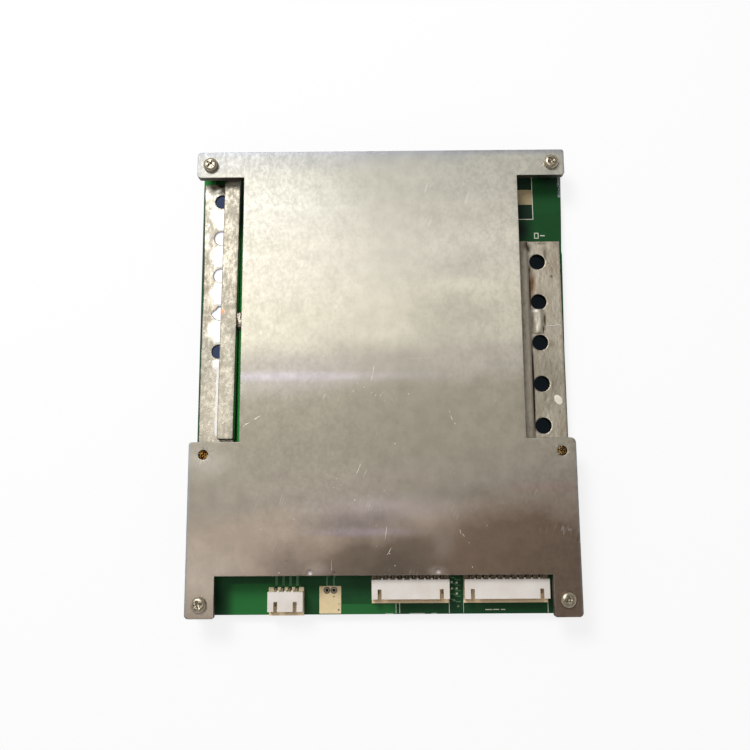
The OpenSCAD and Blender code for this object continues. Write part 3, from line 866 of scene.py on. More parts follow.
def board_finish(settings):
    """Glossy green solder mask over laminate and copper, with pale cut sides, fields and patches of
    painted light and shade, and painted shade on the hole walls.
    """
    made, out, where = new_material("Solder mask", specular_ior_level=0.15)
    x, y, z = split(where)
    pours = node(where.tree, "TexVoronoi", {"Vector": where, "Scale": 95.0},
                 distance="CHEBYCHEV")["Color"]
    pour = node(where.tree, "SeparateColor", {0: pours}) > 0.45
    broad = cloud(where, size=0.012, contrast=1.6)
    weave = node(where.tree, "TexBrick", {"Vector": where, "Scale": 900.0, "Mortar Size": 0.06,
                                          "Mortar Smooth": 1.0})["Fac"]
    facing = facing_up(where)
    side = fall(abs(facing), 0.3, 0.7)
    upper = ease(facing, 0.3, 0.7)
    colour = mix(pour * 0.35, rgba(settings.mask), rgba(settings.pour))
    colour = mix(broad * 0.5, colour, rgba(settings.pour))
    # Copper pour, a darker field and painted light, on the board's top only
    for (left, low), (right, high), fade, hue, strength in BOARD_POUR_AND_LIT_FIELDS:
        across = ease(x, left, left + fade[0]) * fall(x, right, right + FIELD_FADE)
        along = ease(y, low, low + FIELD_FADE) * fall(y, high - fade[1], high)
        colour = mix(across * along * upper * strength, colour, hue)
    # Painted shade in patches
    colour = spotted(colour, where, BOARD_PAINTED_SHADE, BOARD_TOP)
    fibre = cloud(where, size=0.0006, stretch=(1, 1, 5), contrast=2.5)
    sawn = mix(fibre, rgba(settings.laminate), (196, 200, 160))
    outer = ease(abs(x), 0.0665, 0.0670).most(ease(abs(y), 0.0835, 0.0840))
    # The sides: sawn laminate outside, painted shade and light on the hole walls
    colour = mix(side, colour, mix(outer, wall_shade_and_light(where, RIGHT_WALL_SHADE), sawn))
    jag = cloud(where, size=0.0011, shift=2.0, contrast=2.0)
    ledge = ease(x + jag * 0.0008, 0.0689, 0.0690) * ease(y, 0.0700, 0.0704)
    colour = mix(ledge * 0.9, colour, mix(fibre, (60, 74, 70), (178, 186, 190)))
    rough = ease(broad + side, 0.0, 1.6, 0.4, 0.8)
    dress(out, colour, rough, pour * 0.6 + weave * 0.12, 0.25, 0.00004)
    return made


class BMS_OT_board(bpy.types.Operator):
    """Finishes the circuit board and adds its tracks, pads and white print"""
    bl_idname = "bms.board"
    bl_label = "Circuit board"

    def execute(self, context):
        settings = context.scene.bms_board
        loops = [rounded_loop(BOARD_OUTLINE, 2.0)]
        loops += hole_loops(LEFT_HOLES, BOARD_HOLE_R, 40)
        loops += hole_loops(RIGHT_HOLES, RIGHT_HOLE_R, 40)
        loops += hole_loops(SPARE_HOLES, SPARE_HOLE_R, 20)
        bm = slab(loops, BOARD_LOW, BOARD_TOP, 2.0, 0.05, 0.05, steps=1)
        piece("green_board", bm, board_finish(settings), ["circuit_board"], sharp=40)
        self.tracks()
        self.white_print(settings)
        self.pads()
        self.spare_footprint()
        return {"FINISHED"}

    def tracks(self):
        """Copper tracks that stand up a little under the solder mask."""
        low, high = BOARD_TOP - 0.01, BOARD_TOP + 0.035
        bm = bmesh.new()
        for i in range(4):
            x = -38.4 + 2.5 * i
            ribbon(bm, [(x, -75.2), (x, -71.6), (x + 0.7, -70.9), (x + 0.7, -66)], 0.9, low, high)
        for x in (-20.3, -17.8):
            ribbon(bm, [(x, -75.6), (x, -72.4), (x + 0.6, -71.6), (x + 0.6, -66)], 0.55, low, high)
        for i in range(5):
            y = -72.6 - 1.9 * i
            ribbon(bm, [(24.0, y), (25.2, y), (26.0, y - 0.8), (27.6, y - 0.8)], 0.3, low, high)
        for i in range(9):
            x = -40 + 10.4 * i
            ribbon(bm, [(x, 83), (x, 78 - i % 3), (x + 3, 75 - i % 3), (x + 3, 60)], 0.6, low, high)
        material = worked_finish("Masked copper", (72, 128, 78), (56, 112, 64), 0.0,
                                 (0.5, 0.6), 0.003, 0.0004)
        piece("board_tracks", bm, material, sharp=40)

    def white_print(self, settings):
        """Printed outlines, ticks and plain blocks, none of them lettering."""
        low, high = BOARD_TOP - 0.01, BOARD_TOP + 0.045
        bm = bmesh.new()
        for x, width in ((23.4, 0.24), (28.5, 0.14), (58.6, 0.24)):
            ribbon(bm, [(x, -80.5), (x, -84.9)], width, low, high)
        for x in (4.4, 5.7):
            ribbon(bm, [(x, -81.2), (x, -84.9)], 0.24, low, high)
        for start, end in ((36.2, 38.7), (39.0, 41.2), (41.8, 43.3)):
            ribbon(bm, [(start, -83.8), (end, -83.8)], 0.3, low, high)
        for start, end in ((0.6, 3.4), (9.2, 14.6), (17.0, 19.0)):
            ribbon(bm, [(start, -85.0), (end, -85.0)], 0.16, low, high)
        for x, y in ((24.4, -76.4), (26.2, -74.4), (26.2, -76.4), (26.2, -78.2), (24.4, -74.2)):
            ribbon(bm, [(x - 0.35, y), (x + 0.35, y)], 0.7, low, high)
        ribbon(bm, [(50.4, 61.5), (58.55, 61.5), (58.55, 81.0)], 0.28, low, high)
        box = [(58.9, 53.9), (60.3, 53.9), (60.3, 55.9), (58.9, 55.9)]
        ribbon(bm, box, 0.34, low, high, closed=True)
        ribbon(bm, [(61.0, 54.9), (62.8, 54.9)], 0.42, low, high)
        material = worked_finish("White print", rgba(settings.print_tone), (180, 184, 164), 0.0,
                                 (0.5, 0.65), 0.0012, 0.0003)
        piece("board_print", bm, material, sharp=40)

    def pads(self):
        """Bare tinned pads, rings round the spare holes and small plated through-holes."""
        low, high = BOARD_TOP - 0.01, BOARD_TOP + 0.05
        bm = bmesh.new()
        for x, y in SPARE_HOLES:
            ribbon(bm, circle(x, y, 0.72, 28), 0.4, low, high + 0.03, closed=True)
        random.seed(11)
        for x, y in ((25.0, -80.6), (26.6, -82.6)):
            ribbon(bm, circle(x, y, 0.26, 16), 0.16, low, high, closed=True)
        for side in (-1, 1):
            for i in range(26):
                x, y = side * random.uniform(8, 22), random.uniform(-68, -20)
                ribbon(bm, circle(x, y, 0.26, 12), 0.16, low, high, closed=True)
        material = worked_finish("Tinned pads", (166, 156, 134), (132, 122, 102), 0.7,
                                 (0.55, 0.7), 0.0015, 0.0003)
        piece("board_pads", bm, material, sharp=40)
        bm = bmesh.new()
        tile(bm, [(51.0, 67.4), (58.35, 67.4), (58.35, 73.4), (51.0, 73.4)], low, high)
        material = worked_finish("Bare copper pad", (176, 158, 120), (160, 142, 106), 0.0,
                                 (0.35, 0.5), 0.003, 0.0004)
        piece("shunt_pad", bm, material, sharp=40)

    def spare_footprint(self):
        """The cream block printed where a second header could go, with its two open holes."""
        corners = [(-23.0, -84.9, 0.15), (-15.2, -84.9, 0.15),
                   (-15.2, -75.3, 0.15), (-23.0, -75.3, 0.15)]
        loops = [rounded_loop(corners, 1.0)] + hole_loops(SPARE_HOLES, 0.52, 20)
        bm = slab(loops, BOARD_TOP - 0.01, BOARD_TOP + 0.06, 1.0, 0.03, 0.01,
                  lambda x, y: 0.015 * bumps(x, y, 1.3, 5.0))
        material = worked_finish("Cream print", (238, 218, 173), (222, 198, 152), 0.0,
                                 (0.45, 0.6), 0.004, 0.0005, pits=0.12)
        piece("spare_footprint", bm, material, sharp=40)
        bm = bmesh.new()
        for x, y in SPARE_HOLES:
            ribbon(bm, circle(x, y, 1.08, 28), 0.3, BOARD_TOP, BOARD_TOP + 0.085, closed=True)
        for x, y, reach in ((-17.8, -79.0, 0.26), (-16.1, -83.6, 0.3)):
            speck = [(reach, BOARD_TOP), (reach, BOARD_TOP + 0.09), (0, BOARD_TOP + 0.1)]
            lathe(bm, x, y, speck, 12)
        material = worked_finish("Flux residue", (96, 72, 50), (70, 52, 36), 0.0,
                                 (0.4, 0.6), 0.001, 0.0003)
        piece("flux_specks", bm, material, sharp=40)


# ---------------------------------------------------------------- busbars and solder

# How far the holes reach along the strips, in metres
HOLE_ROWS = (-0.0224, 0.0732)
# The left strip's outer side, and the end that it stops short at
STRIP_LEFT, STRIP_END = -67.6, 76.2
# The left bar's middle and its turn in degrees, and half of a bar's width
LEFT_BAR_X, LEFT_BAR_TURN = -56.85, -0.55
BAR_HALF = 3.05


def tin_finish(name, base, second, stains, shaded_walls=None, spots=(), rough=(0.42, 0.56), dent=0.14):
    """Tinned copper: soft flowed blotches, oxide, a few pits, brown flux stains, listed patches,
    and painted shade and light round the cable holes.
    """
    made, out, where = new_material(name, metallic=1.0)
    flow = cloud(where, size=0.0042, stretch=(1.0, 0.5, 1.0), contrast=2.4)
    fine = cloud(where, size=0.0012, stretch=(1.0, 0.6, 1.0), shift=0.8, contrast=2.6)
    stain = cloud(where, size=0.006, stretch=(1.4, 0.35, 1.0), shift=4.0, contrast=3.5)
    pits = small_pits(where, size=0.0014, share=0.12)
    brown = dimmed(second, 0.74, 0.66, 0.58)
    colour = mix(flow * 0.45 + fine * 0.55, base, second)
    colour = mix(ease(stain, 0.6, 1.0) * stains, colour, brown)
    colour = mix(pits * 0.5, colour, brown)
    colour = spotted(colour, where, spots, STRIP_TOP)
    if shaded_walls:
        facing = facing_up(where)
        x, y, z = split(where)
        aside = abs(x - LEFT_HOLES[0][0] * MM).least(abs(x - RIGHT_HOLES[0][0] * MM))
        row = fall(aside, 0.0034, 0.0036) * window(y, *HOLE_ROWS)
        # Painted shade on the sloped rims round the cable holes, then painted shade and light on
        # their walls
        colour = mix(fall(facing, 0.55, 0.95) * row * 0.7, colour, (112, 110, 116))
        wall = row * fall(abs(facing), 0.15, 0.45)
        colour = mix(wall, colour, wall_shade_and_light(where, shaded_walls))
    dress(out, colour, ease(flow + fine, 0.5, 1.5, *rough), flow * 0.5 + fine - pits, dent, 0.00012)
    return made


def strip_lift(lumps, holes, radius, seed):
    """Flowed tin: soft lumps of two sizes and a low rim round each cable hole."""
    def lift(x, y):
        height = lumps * (0.8 * bumps(x, y, 6.0, seed) + 0.3 * bumps(x, y, 2.0, seed + 5))
        if x < 0 and y > 70:
            height += lumps * 3.0 * min(1.0, (y - 70) / 4) * bumps(x, y, 1.7, seed + 9)
        for cx, cy in holes:
            far = hypot(x - cx, y - cy) - radius
            if far < 1.2:
                height += 0.035 * exp(-((far - 0.4) / 0.4) ** 2)
        return height
    return lift


def torn_hole(x, y, radius):
    """A hole whose upper left is half closed by solder and whose left runs out to a point."""
    point_at, solder_at = 186, 134
    loop = []
    for i in range(48):
        degrees = 360 - 7.5 * i
        arm = radius + 0.5 * exp(-((degrees - point_at) / 15) ** 2)
        arm -= 0.62 * exp(-((degrees - solder_at) / 27) ** 2)
        loop.append(Vector((x + arm * cos(radians(degrees)),
                            y + arm * sin(radians(degrees)))))
    return loop


# Stains and dark marks on the right strip and bar: centre, reach, raggedness, colour and strength
RIGHT_STAINS = [
    ((61.0, -2.0), (12.0, 27.0), 0.3, (162, 154, 137), 1.1),
    ((63.4, 12.0), (3.4, 2.4), 1.0, (150, 140, 122), 0.7),
    ((58.2, 9.6), (1.4, 1.6), 0.9, (120, 110, 94), 0.6),
    ((57.0, 35.6), (1.8, 9.0), 0.6, (128, 98, 72), 1.1),
    ((55.4, 49.6), (2.4, 3.0), 0.9, (78, 70, 58), 1.1),
    ((56.2, 41.0), (1.2, 3.0), 0.6, (92, 74, 54), 1.0),
    ((62.4, 47.0), (1.2, 3.6), 1.1, (118, 106, 88), 0.8),
    ((61.0, 51.4), (3.0, 0.8), 0.7, (120, 108, 90), 0.7),
    ((64.4, 38.4), (0.9, 0.9), 0.4, (104, 94, 78), 0.9),
    ((63.4, 43.6), (0.5, 0.6), 0.4, (110, 98, 80), 0.8),
    # Two dark bands just right of the bar, along its side
    ((56.15, -4.0), (0.6, 27.0), 0.15, (52, 44, 34), 1.8),
    ((56.1, 32.0), (0.7, 14.0), 0.4, (84, 66, 46), 1.3),
    ((63.6, 30.6), (3.2, 3.0), 0.8, (160, 150, 134), 0.35),
    ((57.6, 6.0), (1.8, 6.0), 0.6, (150, 138, 120), 0.5),
    ((61.0, -15.0), (3.0, 4.0), 0.8, (214, 206, 188), 0.35),
]
# Stains, painted light and painted highlights on the left strip and bar: centre, reach, raggedness,
# colour and strength
LEFT_STAINS_AND_PAINTED_LIGHT = [
    ((-62.0, -14.0), (12.0, 26.0), 0.3, (175, 167, 151), 0.95),
    # Painted light on the strip's top end, in the shadow of the plate's lug
    ((-64.8, 72.4), (4.8, 3.6), 0.4, (250, 246, 232), 1.5),
    # Darker patches at the top end of the strip and bar
    ((-60.8, 76.4), (3.2, 2.4), 1.4, (50, 44, 32), 1.6),
    ((-57.0, 78.0), (4.0, 2.0), 1.2, (104, 96, 78), 1.0),
    ((-64.2, 74.6), (1.8, 1.4), 1.4, (96, 90, 72), 0.9),
    ((-65.0, 71.0), (2.6, 3.4), 0.9, (128, 122, 106), 0.4),
    ((-64.2, 34.0), (1.8, 8.0), 0.8, (146, 140, 122), 0.5),
    ((-62.4, 44.0), (2.0, 3.0), 0.8, (144, 136, 116), 0.5),
    ((-63.6, -3.0), (1.0, 3.0), 0.7, (118, 106, 88), 0.5),
    ((-62.0, 26.0), (4.6, 2.6), 0.8, (146, 134, 110), 0.45),
    ((-56.8, 2.0), (3.0, 34.0), 0.2, (168, 162, 147), 0.8),
    ((-56.3, 60.0), (3.0, 26.0), 0.2, (142, 136, 124), 0.6),
    ((-59.1, 25.0), (0.9, 1.3), 0.3, (222, 118, 78), 1.1),
    # Painted highlights: soft white glows beside the seam, between the holes
    ((-62.7, 62.6), (3.0, 4.6), 0.6, (248, 243, 228), 0.75),
    ((-62.7, 47.6), (3.0, 4.8), 0.6, (248, 243, 228), 0.75),
    ((-62.7, 32.6), (3.0, 4.8), 0.6, (248, 243, 228), 0.75),
    ((-63.4, 18.4), (3.2, 4.8), 0.6, (248, 243, 228), 0.95),
    ((-61.9, 5.8), (2.2, 2.6), 0.6, (248, 243, 228), 0.7),
]
# Painted highlights on the smear's ridge and top, and painted shade in its furrow, on its left and
# at its foot: centre, reach, raggedness, colour and strength
SMEAR_PAINTED_LIGHT = [
    ((59.3, 21.0), (0.9, 6.0), 0.5, (232, 226, 210), 1.0),
    ((61.2, 21.6), (0.7, 4.6), 0.4, (74, 64, 48), 1.4),
    ((60.7, 18.0), (0.7, 2.2), 0.5, (84, 74, 56), 1.2),
    ((56.7, 20.5), (0.8, 5.5), 0.6, (128, 116, 98), 0.8),
    ((58.6, 16.6), (2.4, 0.8), 0.6, (120, 108, 90), 0.8),
    ((57.6, 25.0), (2.0, 0.9), 0.5, (240, 236, 224), 0.9),
]


class BMS_OT_busbars(bpy.types.Operator):
    """Builds the tinned strips, the bars on them and all the solder"""
    bl_idname = "bms.busbars"
    bl_label = "Busbars and solder"

    def execute(self, context):
        settings = context.scene.bms_busbar
        left = tin_finish("Tinned copper, left", rgba(settings.tin), rgba(settings.tin_dull), 0.4,
                          LEFT_WALL_SHADE, LEFT_STAINS_AND_PAINTED_LIGHT, dent=0.34)
        right = tin_finish("Tinned copper, right", (206, 197, 180), (174, 164, 146), 0.5,
                           RIGHT_WALL_SHADE, RIGHT_STAINS, dent=0.26)
        bars = tin_finish("Tinned bar", (160, 154, 140), (142, 136, 122), 0.35,
                          spots=LEFT_STAINS_AND_PAINTED_LIGHT, dent=0.31)
        right_bar = tin_finish("Tinned bar, right", (160, 151, 136), (136, 128, 114), 0.4,
                               spots=RIGHT_STAINS)
        # Painted highlight: the seam's solder is drawn nearly white and scarcely metallic
        solder = worked_finish("Solder in painted highlight", (255, 254, 252), (250, 247, 240), 0.15,
                               (0.3, 0.4), 0.002, 0.0005, dent=0.05)
        self.strip("left_tinned_strip", "left_busbar_strip", LEFT_HOLES, LEFT_HOLE_R, left,
                   settings, 1.0)
        self.strip("right_tinned_strip", "right_busbar_strip", RIGHT_HOLES, RIGHT_HOLE_R, right,
                   settings, 9.0)
        self.bar("left_bar", "left_busbar_bar", bars, LEFT_BAR_X, -22.8, 77.4, LEFT_BAR_TURN, 2.0)
        self.bar("right_bar", "right_busbar_bar", right_bar, 52.2, -24.4, 51.3, 0.0, 7.0)
        self.left_seam(solder)
        bm = bmesh.new()
        # A thin ridge across the right strip, in the same painted highlight
        ribbon(bm, [(61.4, 18.9), (62.8, 19.4), (64.4, 19.3), (66.2, 19.6), (67.6, 19.3)], 0.11,
               STRIP_TOP - 0.15, STRIP_TOP + 0.03)
        piece("right_ridge", bm, solder, sharp=60)
        self.right_seam(tin_finish("Smeared solder", (198, 190, 174), (152, 144, 128), 0.4,
                                   spots=SMEAR_PAINTED_LIGHT, rough=(0.5, 0.62), dent=0.15))
        self.lump(tin_finish("Dull solder", (186, 178, 162), (132, 122, 106), 0.6, dent=0.3))
        self.dab()
        return {"FINISHED"}

    def strip(self, name, source, holes, radius, material, settings, seed):
        """A strip with its cable holes, of which the left one's fourth is torn."""
        low, high = [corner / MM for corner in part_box(source)]
        gap = settings.net_gap / MM
        outer = STRIP_LEFT if low.x < 0 else low.x + 0.1
        end = min(high.y, STRIP_END)
        corners = [(outer, low.y, 0.3), (high.x - 0.1, low.y, 0.3),
                   (high.x - 0.1, end, 0.3), (outer, end, 0.8)]
        outline = [p + Vector((self.bow(p.x, p.y) + 0.1 * bumps(p.y, seed, 2.3), 0.0))
                   for p in rounded_loop(corners, gap)]
        loops = [outline] + hole_loops(holes, radius, 48)
        if low.x < 0:
            loops[4] = torn_hole(*holes[3], radius)
        bm = slab(loops, BOARD_TOP, STRIP_TOP - 0.12, gap, 0.24, 0.05,
                  strip_lift(settings.lumps / MM, holes, radius, seed))
        piece(name, bm, material, [source])

    @staticmethod
    def bow(x, y):
        """The left strip's outer edge was filed hollow by a few tenths."""
        if x > -67:
            return 0.0
        return 0.35 * exp(-((y - 38) / 20) ** 2)

    def bar(self, name, source, material, x, low_y, high_y, turn, seed):
        """A bar whose long edges and top wander a little, as hand-soldered bars do."""
        corners = [(x - BAR_HALF, low_y, 0.5), (x + BAR_HALF, low_y, 0.5),
                   (x + BAR_HALF, high_y, 0.5), (x - BAR_HALF, high_y, 0.5)]
        middle = Vector((x, (low_y + high_y) / 2))
        loop = []
        for p in rounded_loop(corners, 0.8):
            p = p + Vector((0.04 * bumps(p.y, seed, 3.0) - 0.04 * copysign(1, p.x - x), 0))
            arm = p - middle
            arm.rotate(Matrix.Rotation(radians(turn), 2))
            loop.append(middle + arm)
        bm = slab([loop], STRIP_TOP - 0.1, BAR_TOP - 0.05, 0.8, 0.3, 0.05,
                  lambda px, py: 0.04 * bumps(px, py, 4.0, seed))
        piece(name, bm, material, [source])

    def left_seam(self, material):
        """The wedge of solder along the left bar, in a painted white highlight, broken off at each
        hole.
        """
        bm = bmesh.new()
        slope, middle = tan(radians(LEFT_BAR_TURN)), 27.45

        def edge(y):
            return LEFT_BAR_X - BAR_HALF - slope * (y - middle)

        def reach(y):
            full = 4.0 if y > 4.2 else max(1.9, 4.0 - (4.2 - y) * 1.6)
            return full * (0.93 + 0.16 * bumps(y, 0, 3.0, 8.0) + 0.08 * bumps(y, 4, 1.2, 8.0))

        clear = LEFT_HOLE_R + 0.12
        stops = [LEFT_HOLES[0][1] + clear]
        stops += [y for hole in LEFT_HOLES for y in (hole[1] + clear, hole[1] - clear)] + [-21.6]
        for top, low in zip(stops[::2], stops[1::2]):
            if top - low > 1.5:
                self.seam_run(bm, top, low, edge, reach)
        piece("left_solder_seam", bm, material, ["left_bar_solder"], sharp=60)

    @staticmethod
    def seam_run(bm, top, low, edge, reach):
        """One run of the wedge, from top down to low, that thins out at both ends."""
        rows = max(8, round((top - low) / 0.3))
        grid = []
        for i in range(rows + 1):
            y = top - (top - low) * i / rows
            end = min(1.0, (top - y + 0.1) / 0.9, (y - low + 0.1) / 0.9)
            fade = sqrt(max(end, 0.05))
            full, height = reach(y) * fade, 0.5 * fade
            row = []
            for k in range(9):
                part = k / 8
                z = STRIP_TOP - 0.2 + (height + 0.2) * (1 - part) ** 1.1
                z += 0.02 * bumps(y, part * 3, 2.1, 2.0) * (1 - part)
                row.append(bm.verts.new((edge(y) + 0.3 - (full + 0.3) * part, y, z)))
            row.append(bm.verts.new((edge(y) + 0.3, y, STRIP_TOP - 0.35)))
            grid.append(row)
        for a, b in zip(grid, grid[1:]):
            bridge(bm, a, b)
        bm.faces.new(grid[0])
        bm.faces.new(grid[-1][::-1])

    def right_seam(self, material):
        """A smear of solder, drawn down from the second hole on the right to the third."""
        top = RIGHT_HOLES[1][1] - RIGHT_HOLE_R
        low = RIGHT_HOLES[2][1] + RIGHT_HOLE_R
        bar_side, ridge_x, furrow_x = 55.3, 58.9, 60.9
        corners = [(bar_side, low + 0.6, 0.6), (61.4, low + 0.4, 0.9),
                   (61.8, top - 0.2, 1.0), (bar_side, top + 0.4, 0.6)]
        outline = [p + Vector((0.25 * bumps(p.y, p.x, 1.6, 3.0), 0.2 * bumps(p.x, p.y, 1.6, 6.0)))
                   for p in rounded_loop(corners, 0.4)]

        def lift(x, y):
            wall = exp(-max(x - bar_side, 0) / 0.9) * 0.5
            ridge = 0.22 * exp(-((x - ridge_x - 0.05 * (y - 20)) / 1.2) ** 2)
            furrow = -0.12 * exp(-((x - furrow_x) / 0.4) ** 2)
            return wall + ridge + furrow + 0.06 * bumps(x, y * 0.35, 1.3, 1.0)
        bm = slab([outline], STRIP_TOP - 0.2, STRIP_TOP + 0.04, 0.35, 0.12, 0.02, lift)
        piece("right_solder_seam", bm, material, ["right_bar_solder"])

    def lump(self, material):
        """Solder that ran down between the bar and the plate's edge."""
        bm = bmesh.new()
        low, high = [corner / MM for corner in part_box("solder_lump")]
        centre = (low + high) / 2
        half = (high - low) / 2
        bmesh.ops.create_icosphere(bm, subdivisions=5, radius=1.0)
        for v in bm.verts:
            way = v.co.copy()
            box_like = max(abs(way.x), abs(way.y), abs(way.z))
            way = way * (0.55 + 0.45 / max(box_like, 0.6))
            rough = 1.0 - 0.10 * (1 + noise.noise(way * 2.4 + Vector((3, 1, 7))))
            rough -= 0.05 * (1 + noise.noise(way * 6.0))
            v.co = centre + Vector((way.x * half.x, way.y * half.y, way.z * half.z)) * rough
            v.co.z = max(low.z, min(high.z, v.co.z + 0.35))
            v.co.x = max(low.x, min(high.x, v.co.x))
            v.co.y = max(low.y, min(high.y, v.co.y))
        piece("solder_run", bm, material, ["solder_lump"])

    def dab(self):
        """A dried dab of white compound."""
        centre, turn = Vector((65.0, -8.8)), radians(28)
        loop = []
        for i in range(40):
            a = tau * i / 40
            arm = Vector((1.35 * cos(a), 2.05 * sin(a)))
            arm *= 1 + 0.06 * bumps(cos(a), sin(a), 0.6, 4.0)
            arm.rotate(Matrix.Rotation(turn, 2))
            loop.append(centre + arm)

        def lift(x, y):
            far = hypot(x - centre.x, y - centre.y) / 2.1
            return 0.22 * max(0.0, 1 - far * far) + 0.04 * bumps(x, y, 0.7, 2.0)
        bm = slab([loop], STRIP_TOP - 0.1, STRIP_TOP + 0.2, 0.22, 0.14, 0.02, lift)
        material = worked_finish("White compound", (240, 235, 220), (222, 214, 194), 0.0,
                                 (0.5, 0.7), 0.001, 0.0003)
        piece("white_dab", bm, material, ["glue_dab"])


# ---------------------------------------------------------------- fasteners

class BMS_OT_fasteners(bpy.types.Operator):
    """Builds the cross-head screws and the threads, and finishes spacers and nuts"""
    bl_idname = "bms.fasteners"
    bl_label = "Screws, spacers and nuts"

    def execute(self, context):
        nickel = worked_finish("Nickel plate", (196, 186, 166), (150, 139, 119), 1.0,
                               (0.28, 0.42), 0.0012, 0.0004, dent=0.08, worn=(226, 214, 190))
        brass = worked_finish("Brass", (222, 194, 136), (182, 150, 98), 1.0,
                              (0.14, 0.28), 0.0016, 0.0004, worn=(252, 232, 186))
        bm = bmesh.new()
        for (x, y), turn in zip(SCREWS, (20, 48, 8, 30)):
            self.screw(bm, x, y, radians(turn))
        piece("cross_head_screws", bm, nickel, ["plate_screws"], sharp=45)
        for name in ("corner_spacers", "left_spacer", "right_spacer"):
            softened(name + "_turned", name, 0.1, brass)
        softened("hex_nuts", "spacer_nuts", 0.15, nickel)
        bm = bmesh.new()
        sleeve = [(1.66, PLATE_LOW - 0.1), (1.66, PLATE_TOP - 0.9), (1.52, PLATE_TOP - 0.75),
                  (1.5, PLATE_TOP - 0.9), (1.5, PLATE_LOW - 0.1)]
        for x, y in OPEN_SPACERS:
            lathe(bm, x, y, sleeve, 36)
            self.thread(bm, x, y)
        piece("open_threads", bm, brass, sharp=40)
        return {"FINISHED"}

    def screw(self, bm, x, y, turn):
        """A pan head as one height field, with a tapered cross recess, on its shank."""
        steps, top, flat, edge = 96, PLATE_TOP + 2.0, 1.3, 2.74
        wing_half, wing_end, wing_depth = 0.5, 1.62, 0.85
        core_radius, core_depth = 0.78, 0.35

        def dome(radius):
            if radius < flat:
                return top
            part = min(1.0, (radius - flat) / (edge - flat))
            return top - 1.15 * (1 - sqrt(max(0.0, 1 - part * part)))

        def recess(radius, angle):
            px, py = radius * cos(angle - turn), radius * sin(angle - turn)
            across, along = min(abs(px), abs(py)), max(abs(px), abs(py))
            wing = ramp((wing_half - across) / 0.16) * ramp((wing_end - along) / 0.22)
            core = ramp((core_radius - radius) / 0.3)
            return wing_depth * wing * (1 - 0.2 * along) + core_depth * core

        radii = [0.08 * (i + 1) for i in range(22)] + [1.9, 2.1, 2.3, 2.45, 2.58, 2.68, edge]
        centre = bm.verts.new((x, y, top - recess(0, 0)))
        rings = []
        for radius in radii:
            ring = []
            for i in range(steps):
                a = tau * i / steps
                ring.append(bm.verts.new((x + radius * cos(a), y + radius * sin(a),
                                          dome(radius) - recess(radius, a))))
            rings.append(ring)
        shank = [(edge, PLATE_TOP + 0.12), (edge - 0.12, PLATE_TOP + 0.01), (1.48, PLATE_TOP),
                 (1.48, PLATE_TOP - 5.8), (1.2, PLATE_TOP - 6.0)]
        for radius, z in shank:
            rings.append([bm.verts.new((p.x, p.y, z)) for p in circle(x, y, radius, steps)])
        for i in range(steps):
            bm.faces.new((centre, rings[0][i], rings[0][(i + 1) % steps]))
        for a, b in zip(rings, rings[1:]):
            bridge(bm, a, b)
        bm.faces.new(rings[-1])

    def thread(self, bm, x, y):
        """The thread in an open spacer: a ridge that winds down the bore."""
        turns, steps, pitch, high = 14, 32, 0.5, PLATE_TOP - 0.95
        grid = []
        for i in range(turns * steps + 1):
            a, z = tau * i / steps, high - pitch * i / steps
            row = []
            for radius, drop in ((1.5, 0.0), (1.33, 0.2), (1.33, 0.28), (1.5, 0.48)):
                row.append(bm.verts.new((x + radius * cos(a), y + radius * sin(a), z - drop)))
            grid.append(row)
        for a, b in zip(grid, grid[1:]):
            bridge(bm, a, b)
        bm.faces.new(grid[0])
        bm.faces.new(grid[-1][::-1])


# ---------------------------------------------------------------- headers

# The small header ends at this x, and the large ones' combs start at this y, in metres
COMM_END, COMB_FRONT = -0.02, -0.0728


class BMS_OT_headers(bpy.types.Operator):
    """Rounds and finishes the three side-entry headers and their pins"""
    bl_idname = "bms.headers"
    bl_label = "Headers"

    def execute(self, context):
        settings = context.scene.bms_header
        nylon = self.nylon_finish(settings)
        pins = worked_finish("Tinned pins", (150, 140, 120), (118, 108, 90), 1.0,
                             (0.5, 0.6), 0.001, 0.0003)
        for name in ("comm_header", "balance_header_a", "balance_header_b"):
            softened(name + "_shell", name + "_housing", settings.edge_round / MM, nylon,
                     pick=self.outer_edge)
            softened(name + "_contacts", name + "_pins", 0.06, pins)
        joints = worked_finish("Wave solder", (216, 212, 202), (176, 170, 158), 1.0,
                               (0.16, 0.3), 0.001, 0.0004)
        NODES["pin_solder"].data.materials.clear()
        NODES["pin_solder"].data.materials.append(joints)
        return {"FINISHED"}

    @staticmethod
    def nylon_finish(settings):
        """Off-white nylon with painted warm shade: tan on its lower parts, and darker on the large
        headers' combs.
        """
        made, out, where = new_material("Nylon", specular_ior_level=0.4)
        x, y, z = split(where)
        broad = cloud(where, size=0.006, contrast=2.0)
        fine = cloud(where, size=0.0005, shift=0.3, contrast=1.6)
        low = fall(z, 0.0098, 0.0103)
        colour = mix(broad, rgba(settings.nylon), rgba(settings.shade))
        # Painted warm shade: tan below the top faces, cream on the small header's comb
        colour = mix(low, colour, mix(fine, (238, 214, 178), (216, 188, 148)))
        colour = mix(low * ((z > 0.0058) * (x < COMM_END)), colour, (224, 210, 170))
        # Painted shade on the large headers' combs, under the plate
        colour = mix(low * ((x > COMM_END) * (y > COMB_FRONT)), colour, (160, 138, 110))
        worn = edge_wear(where, radius=0.0002)
        colour = mix(worn * 0.3, colour, (246, 242, 238))
        dress(out, colour, ease(broad, 0.1, 0.9, 0.42, 0.55), fine, 0.06)
        return made

    @staticmethod
    def outer_edge(edge):
        """Edges of the shell's outside, away from the small channels round the pins."""
        a, b = edge.verts
        return min(a.co.z, b.co.z) > 10.3


# ---------------------------------------------------------------- parts under the plate

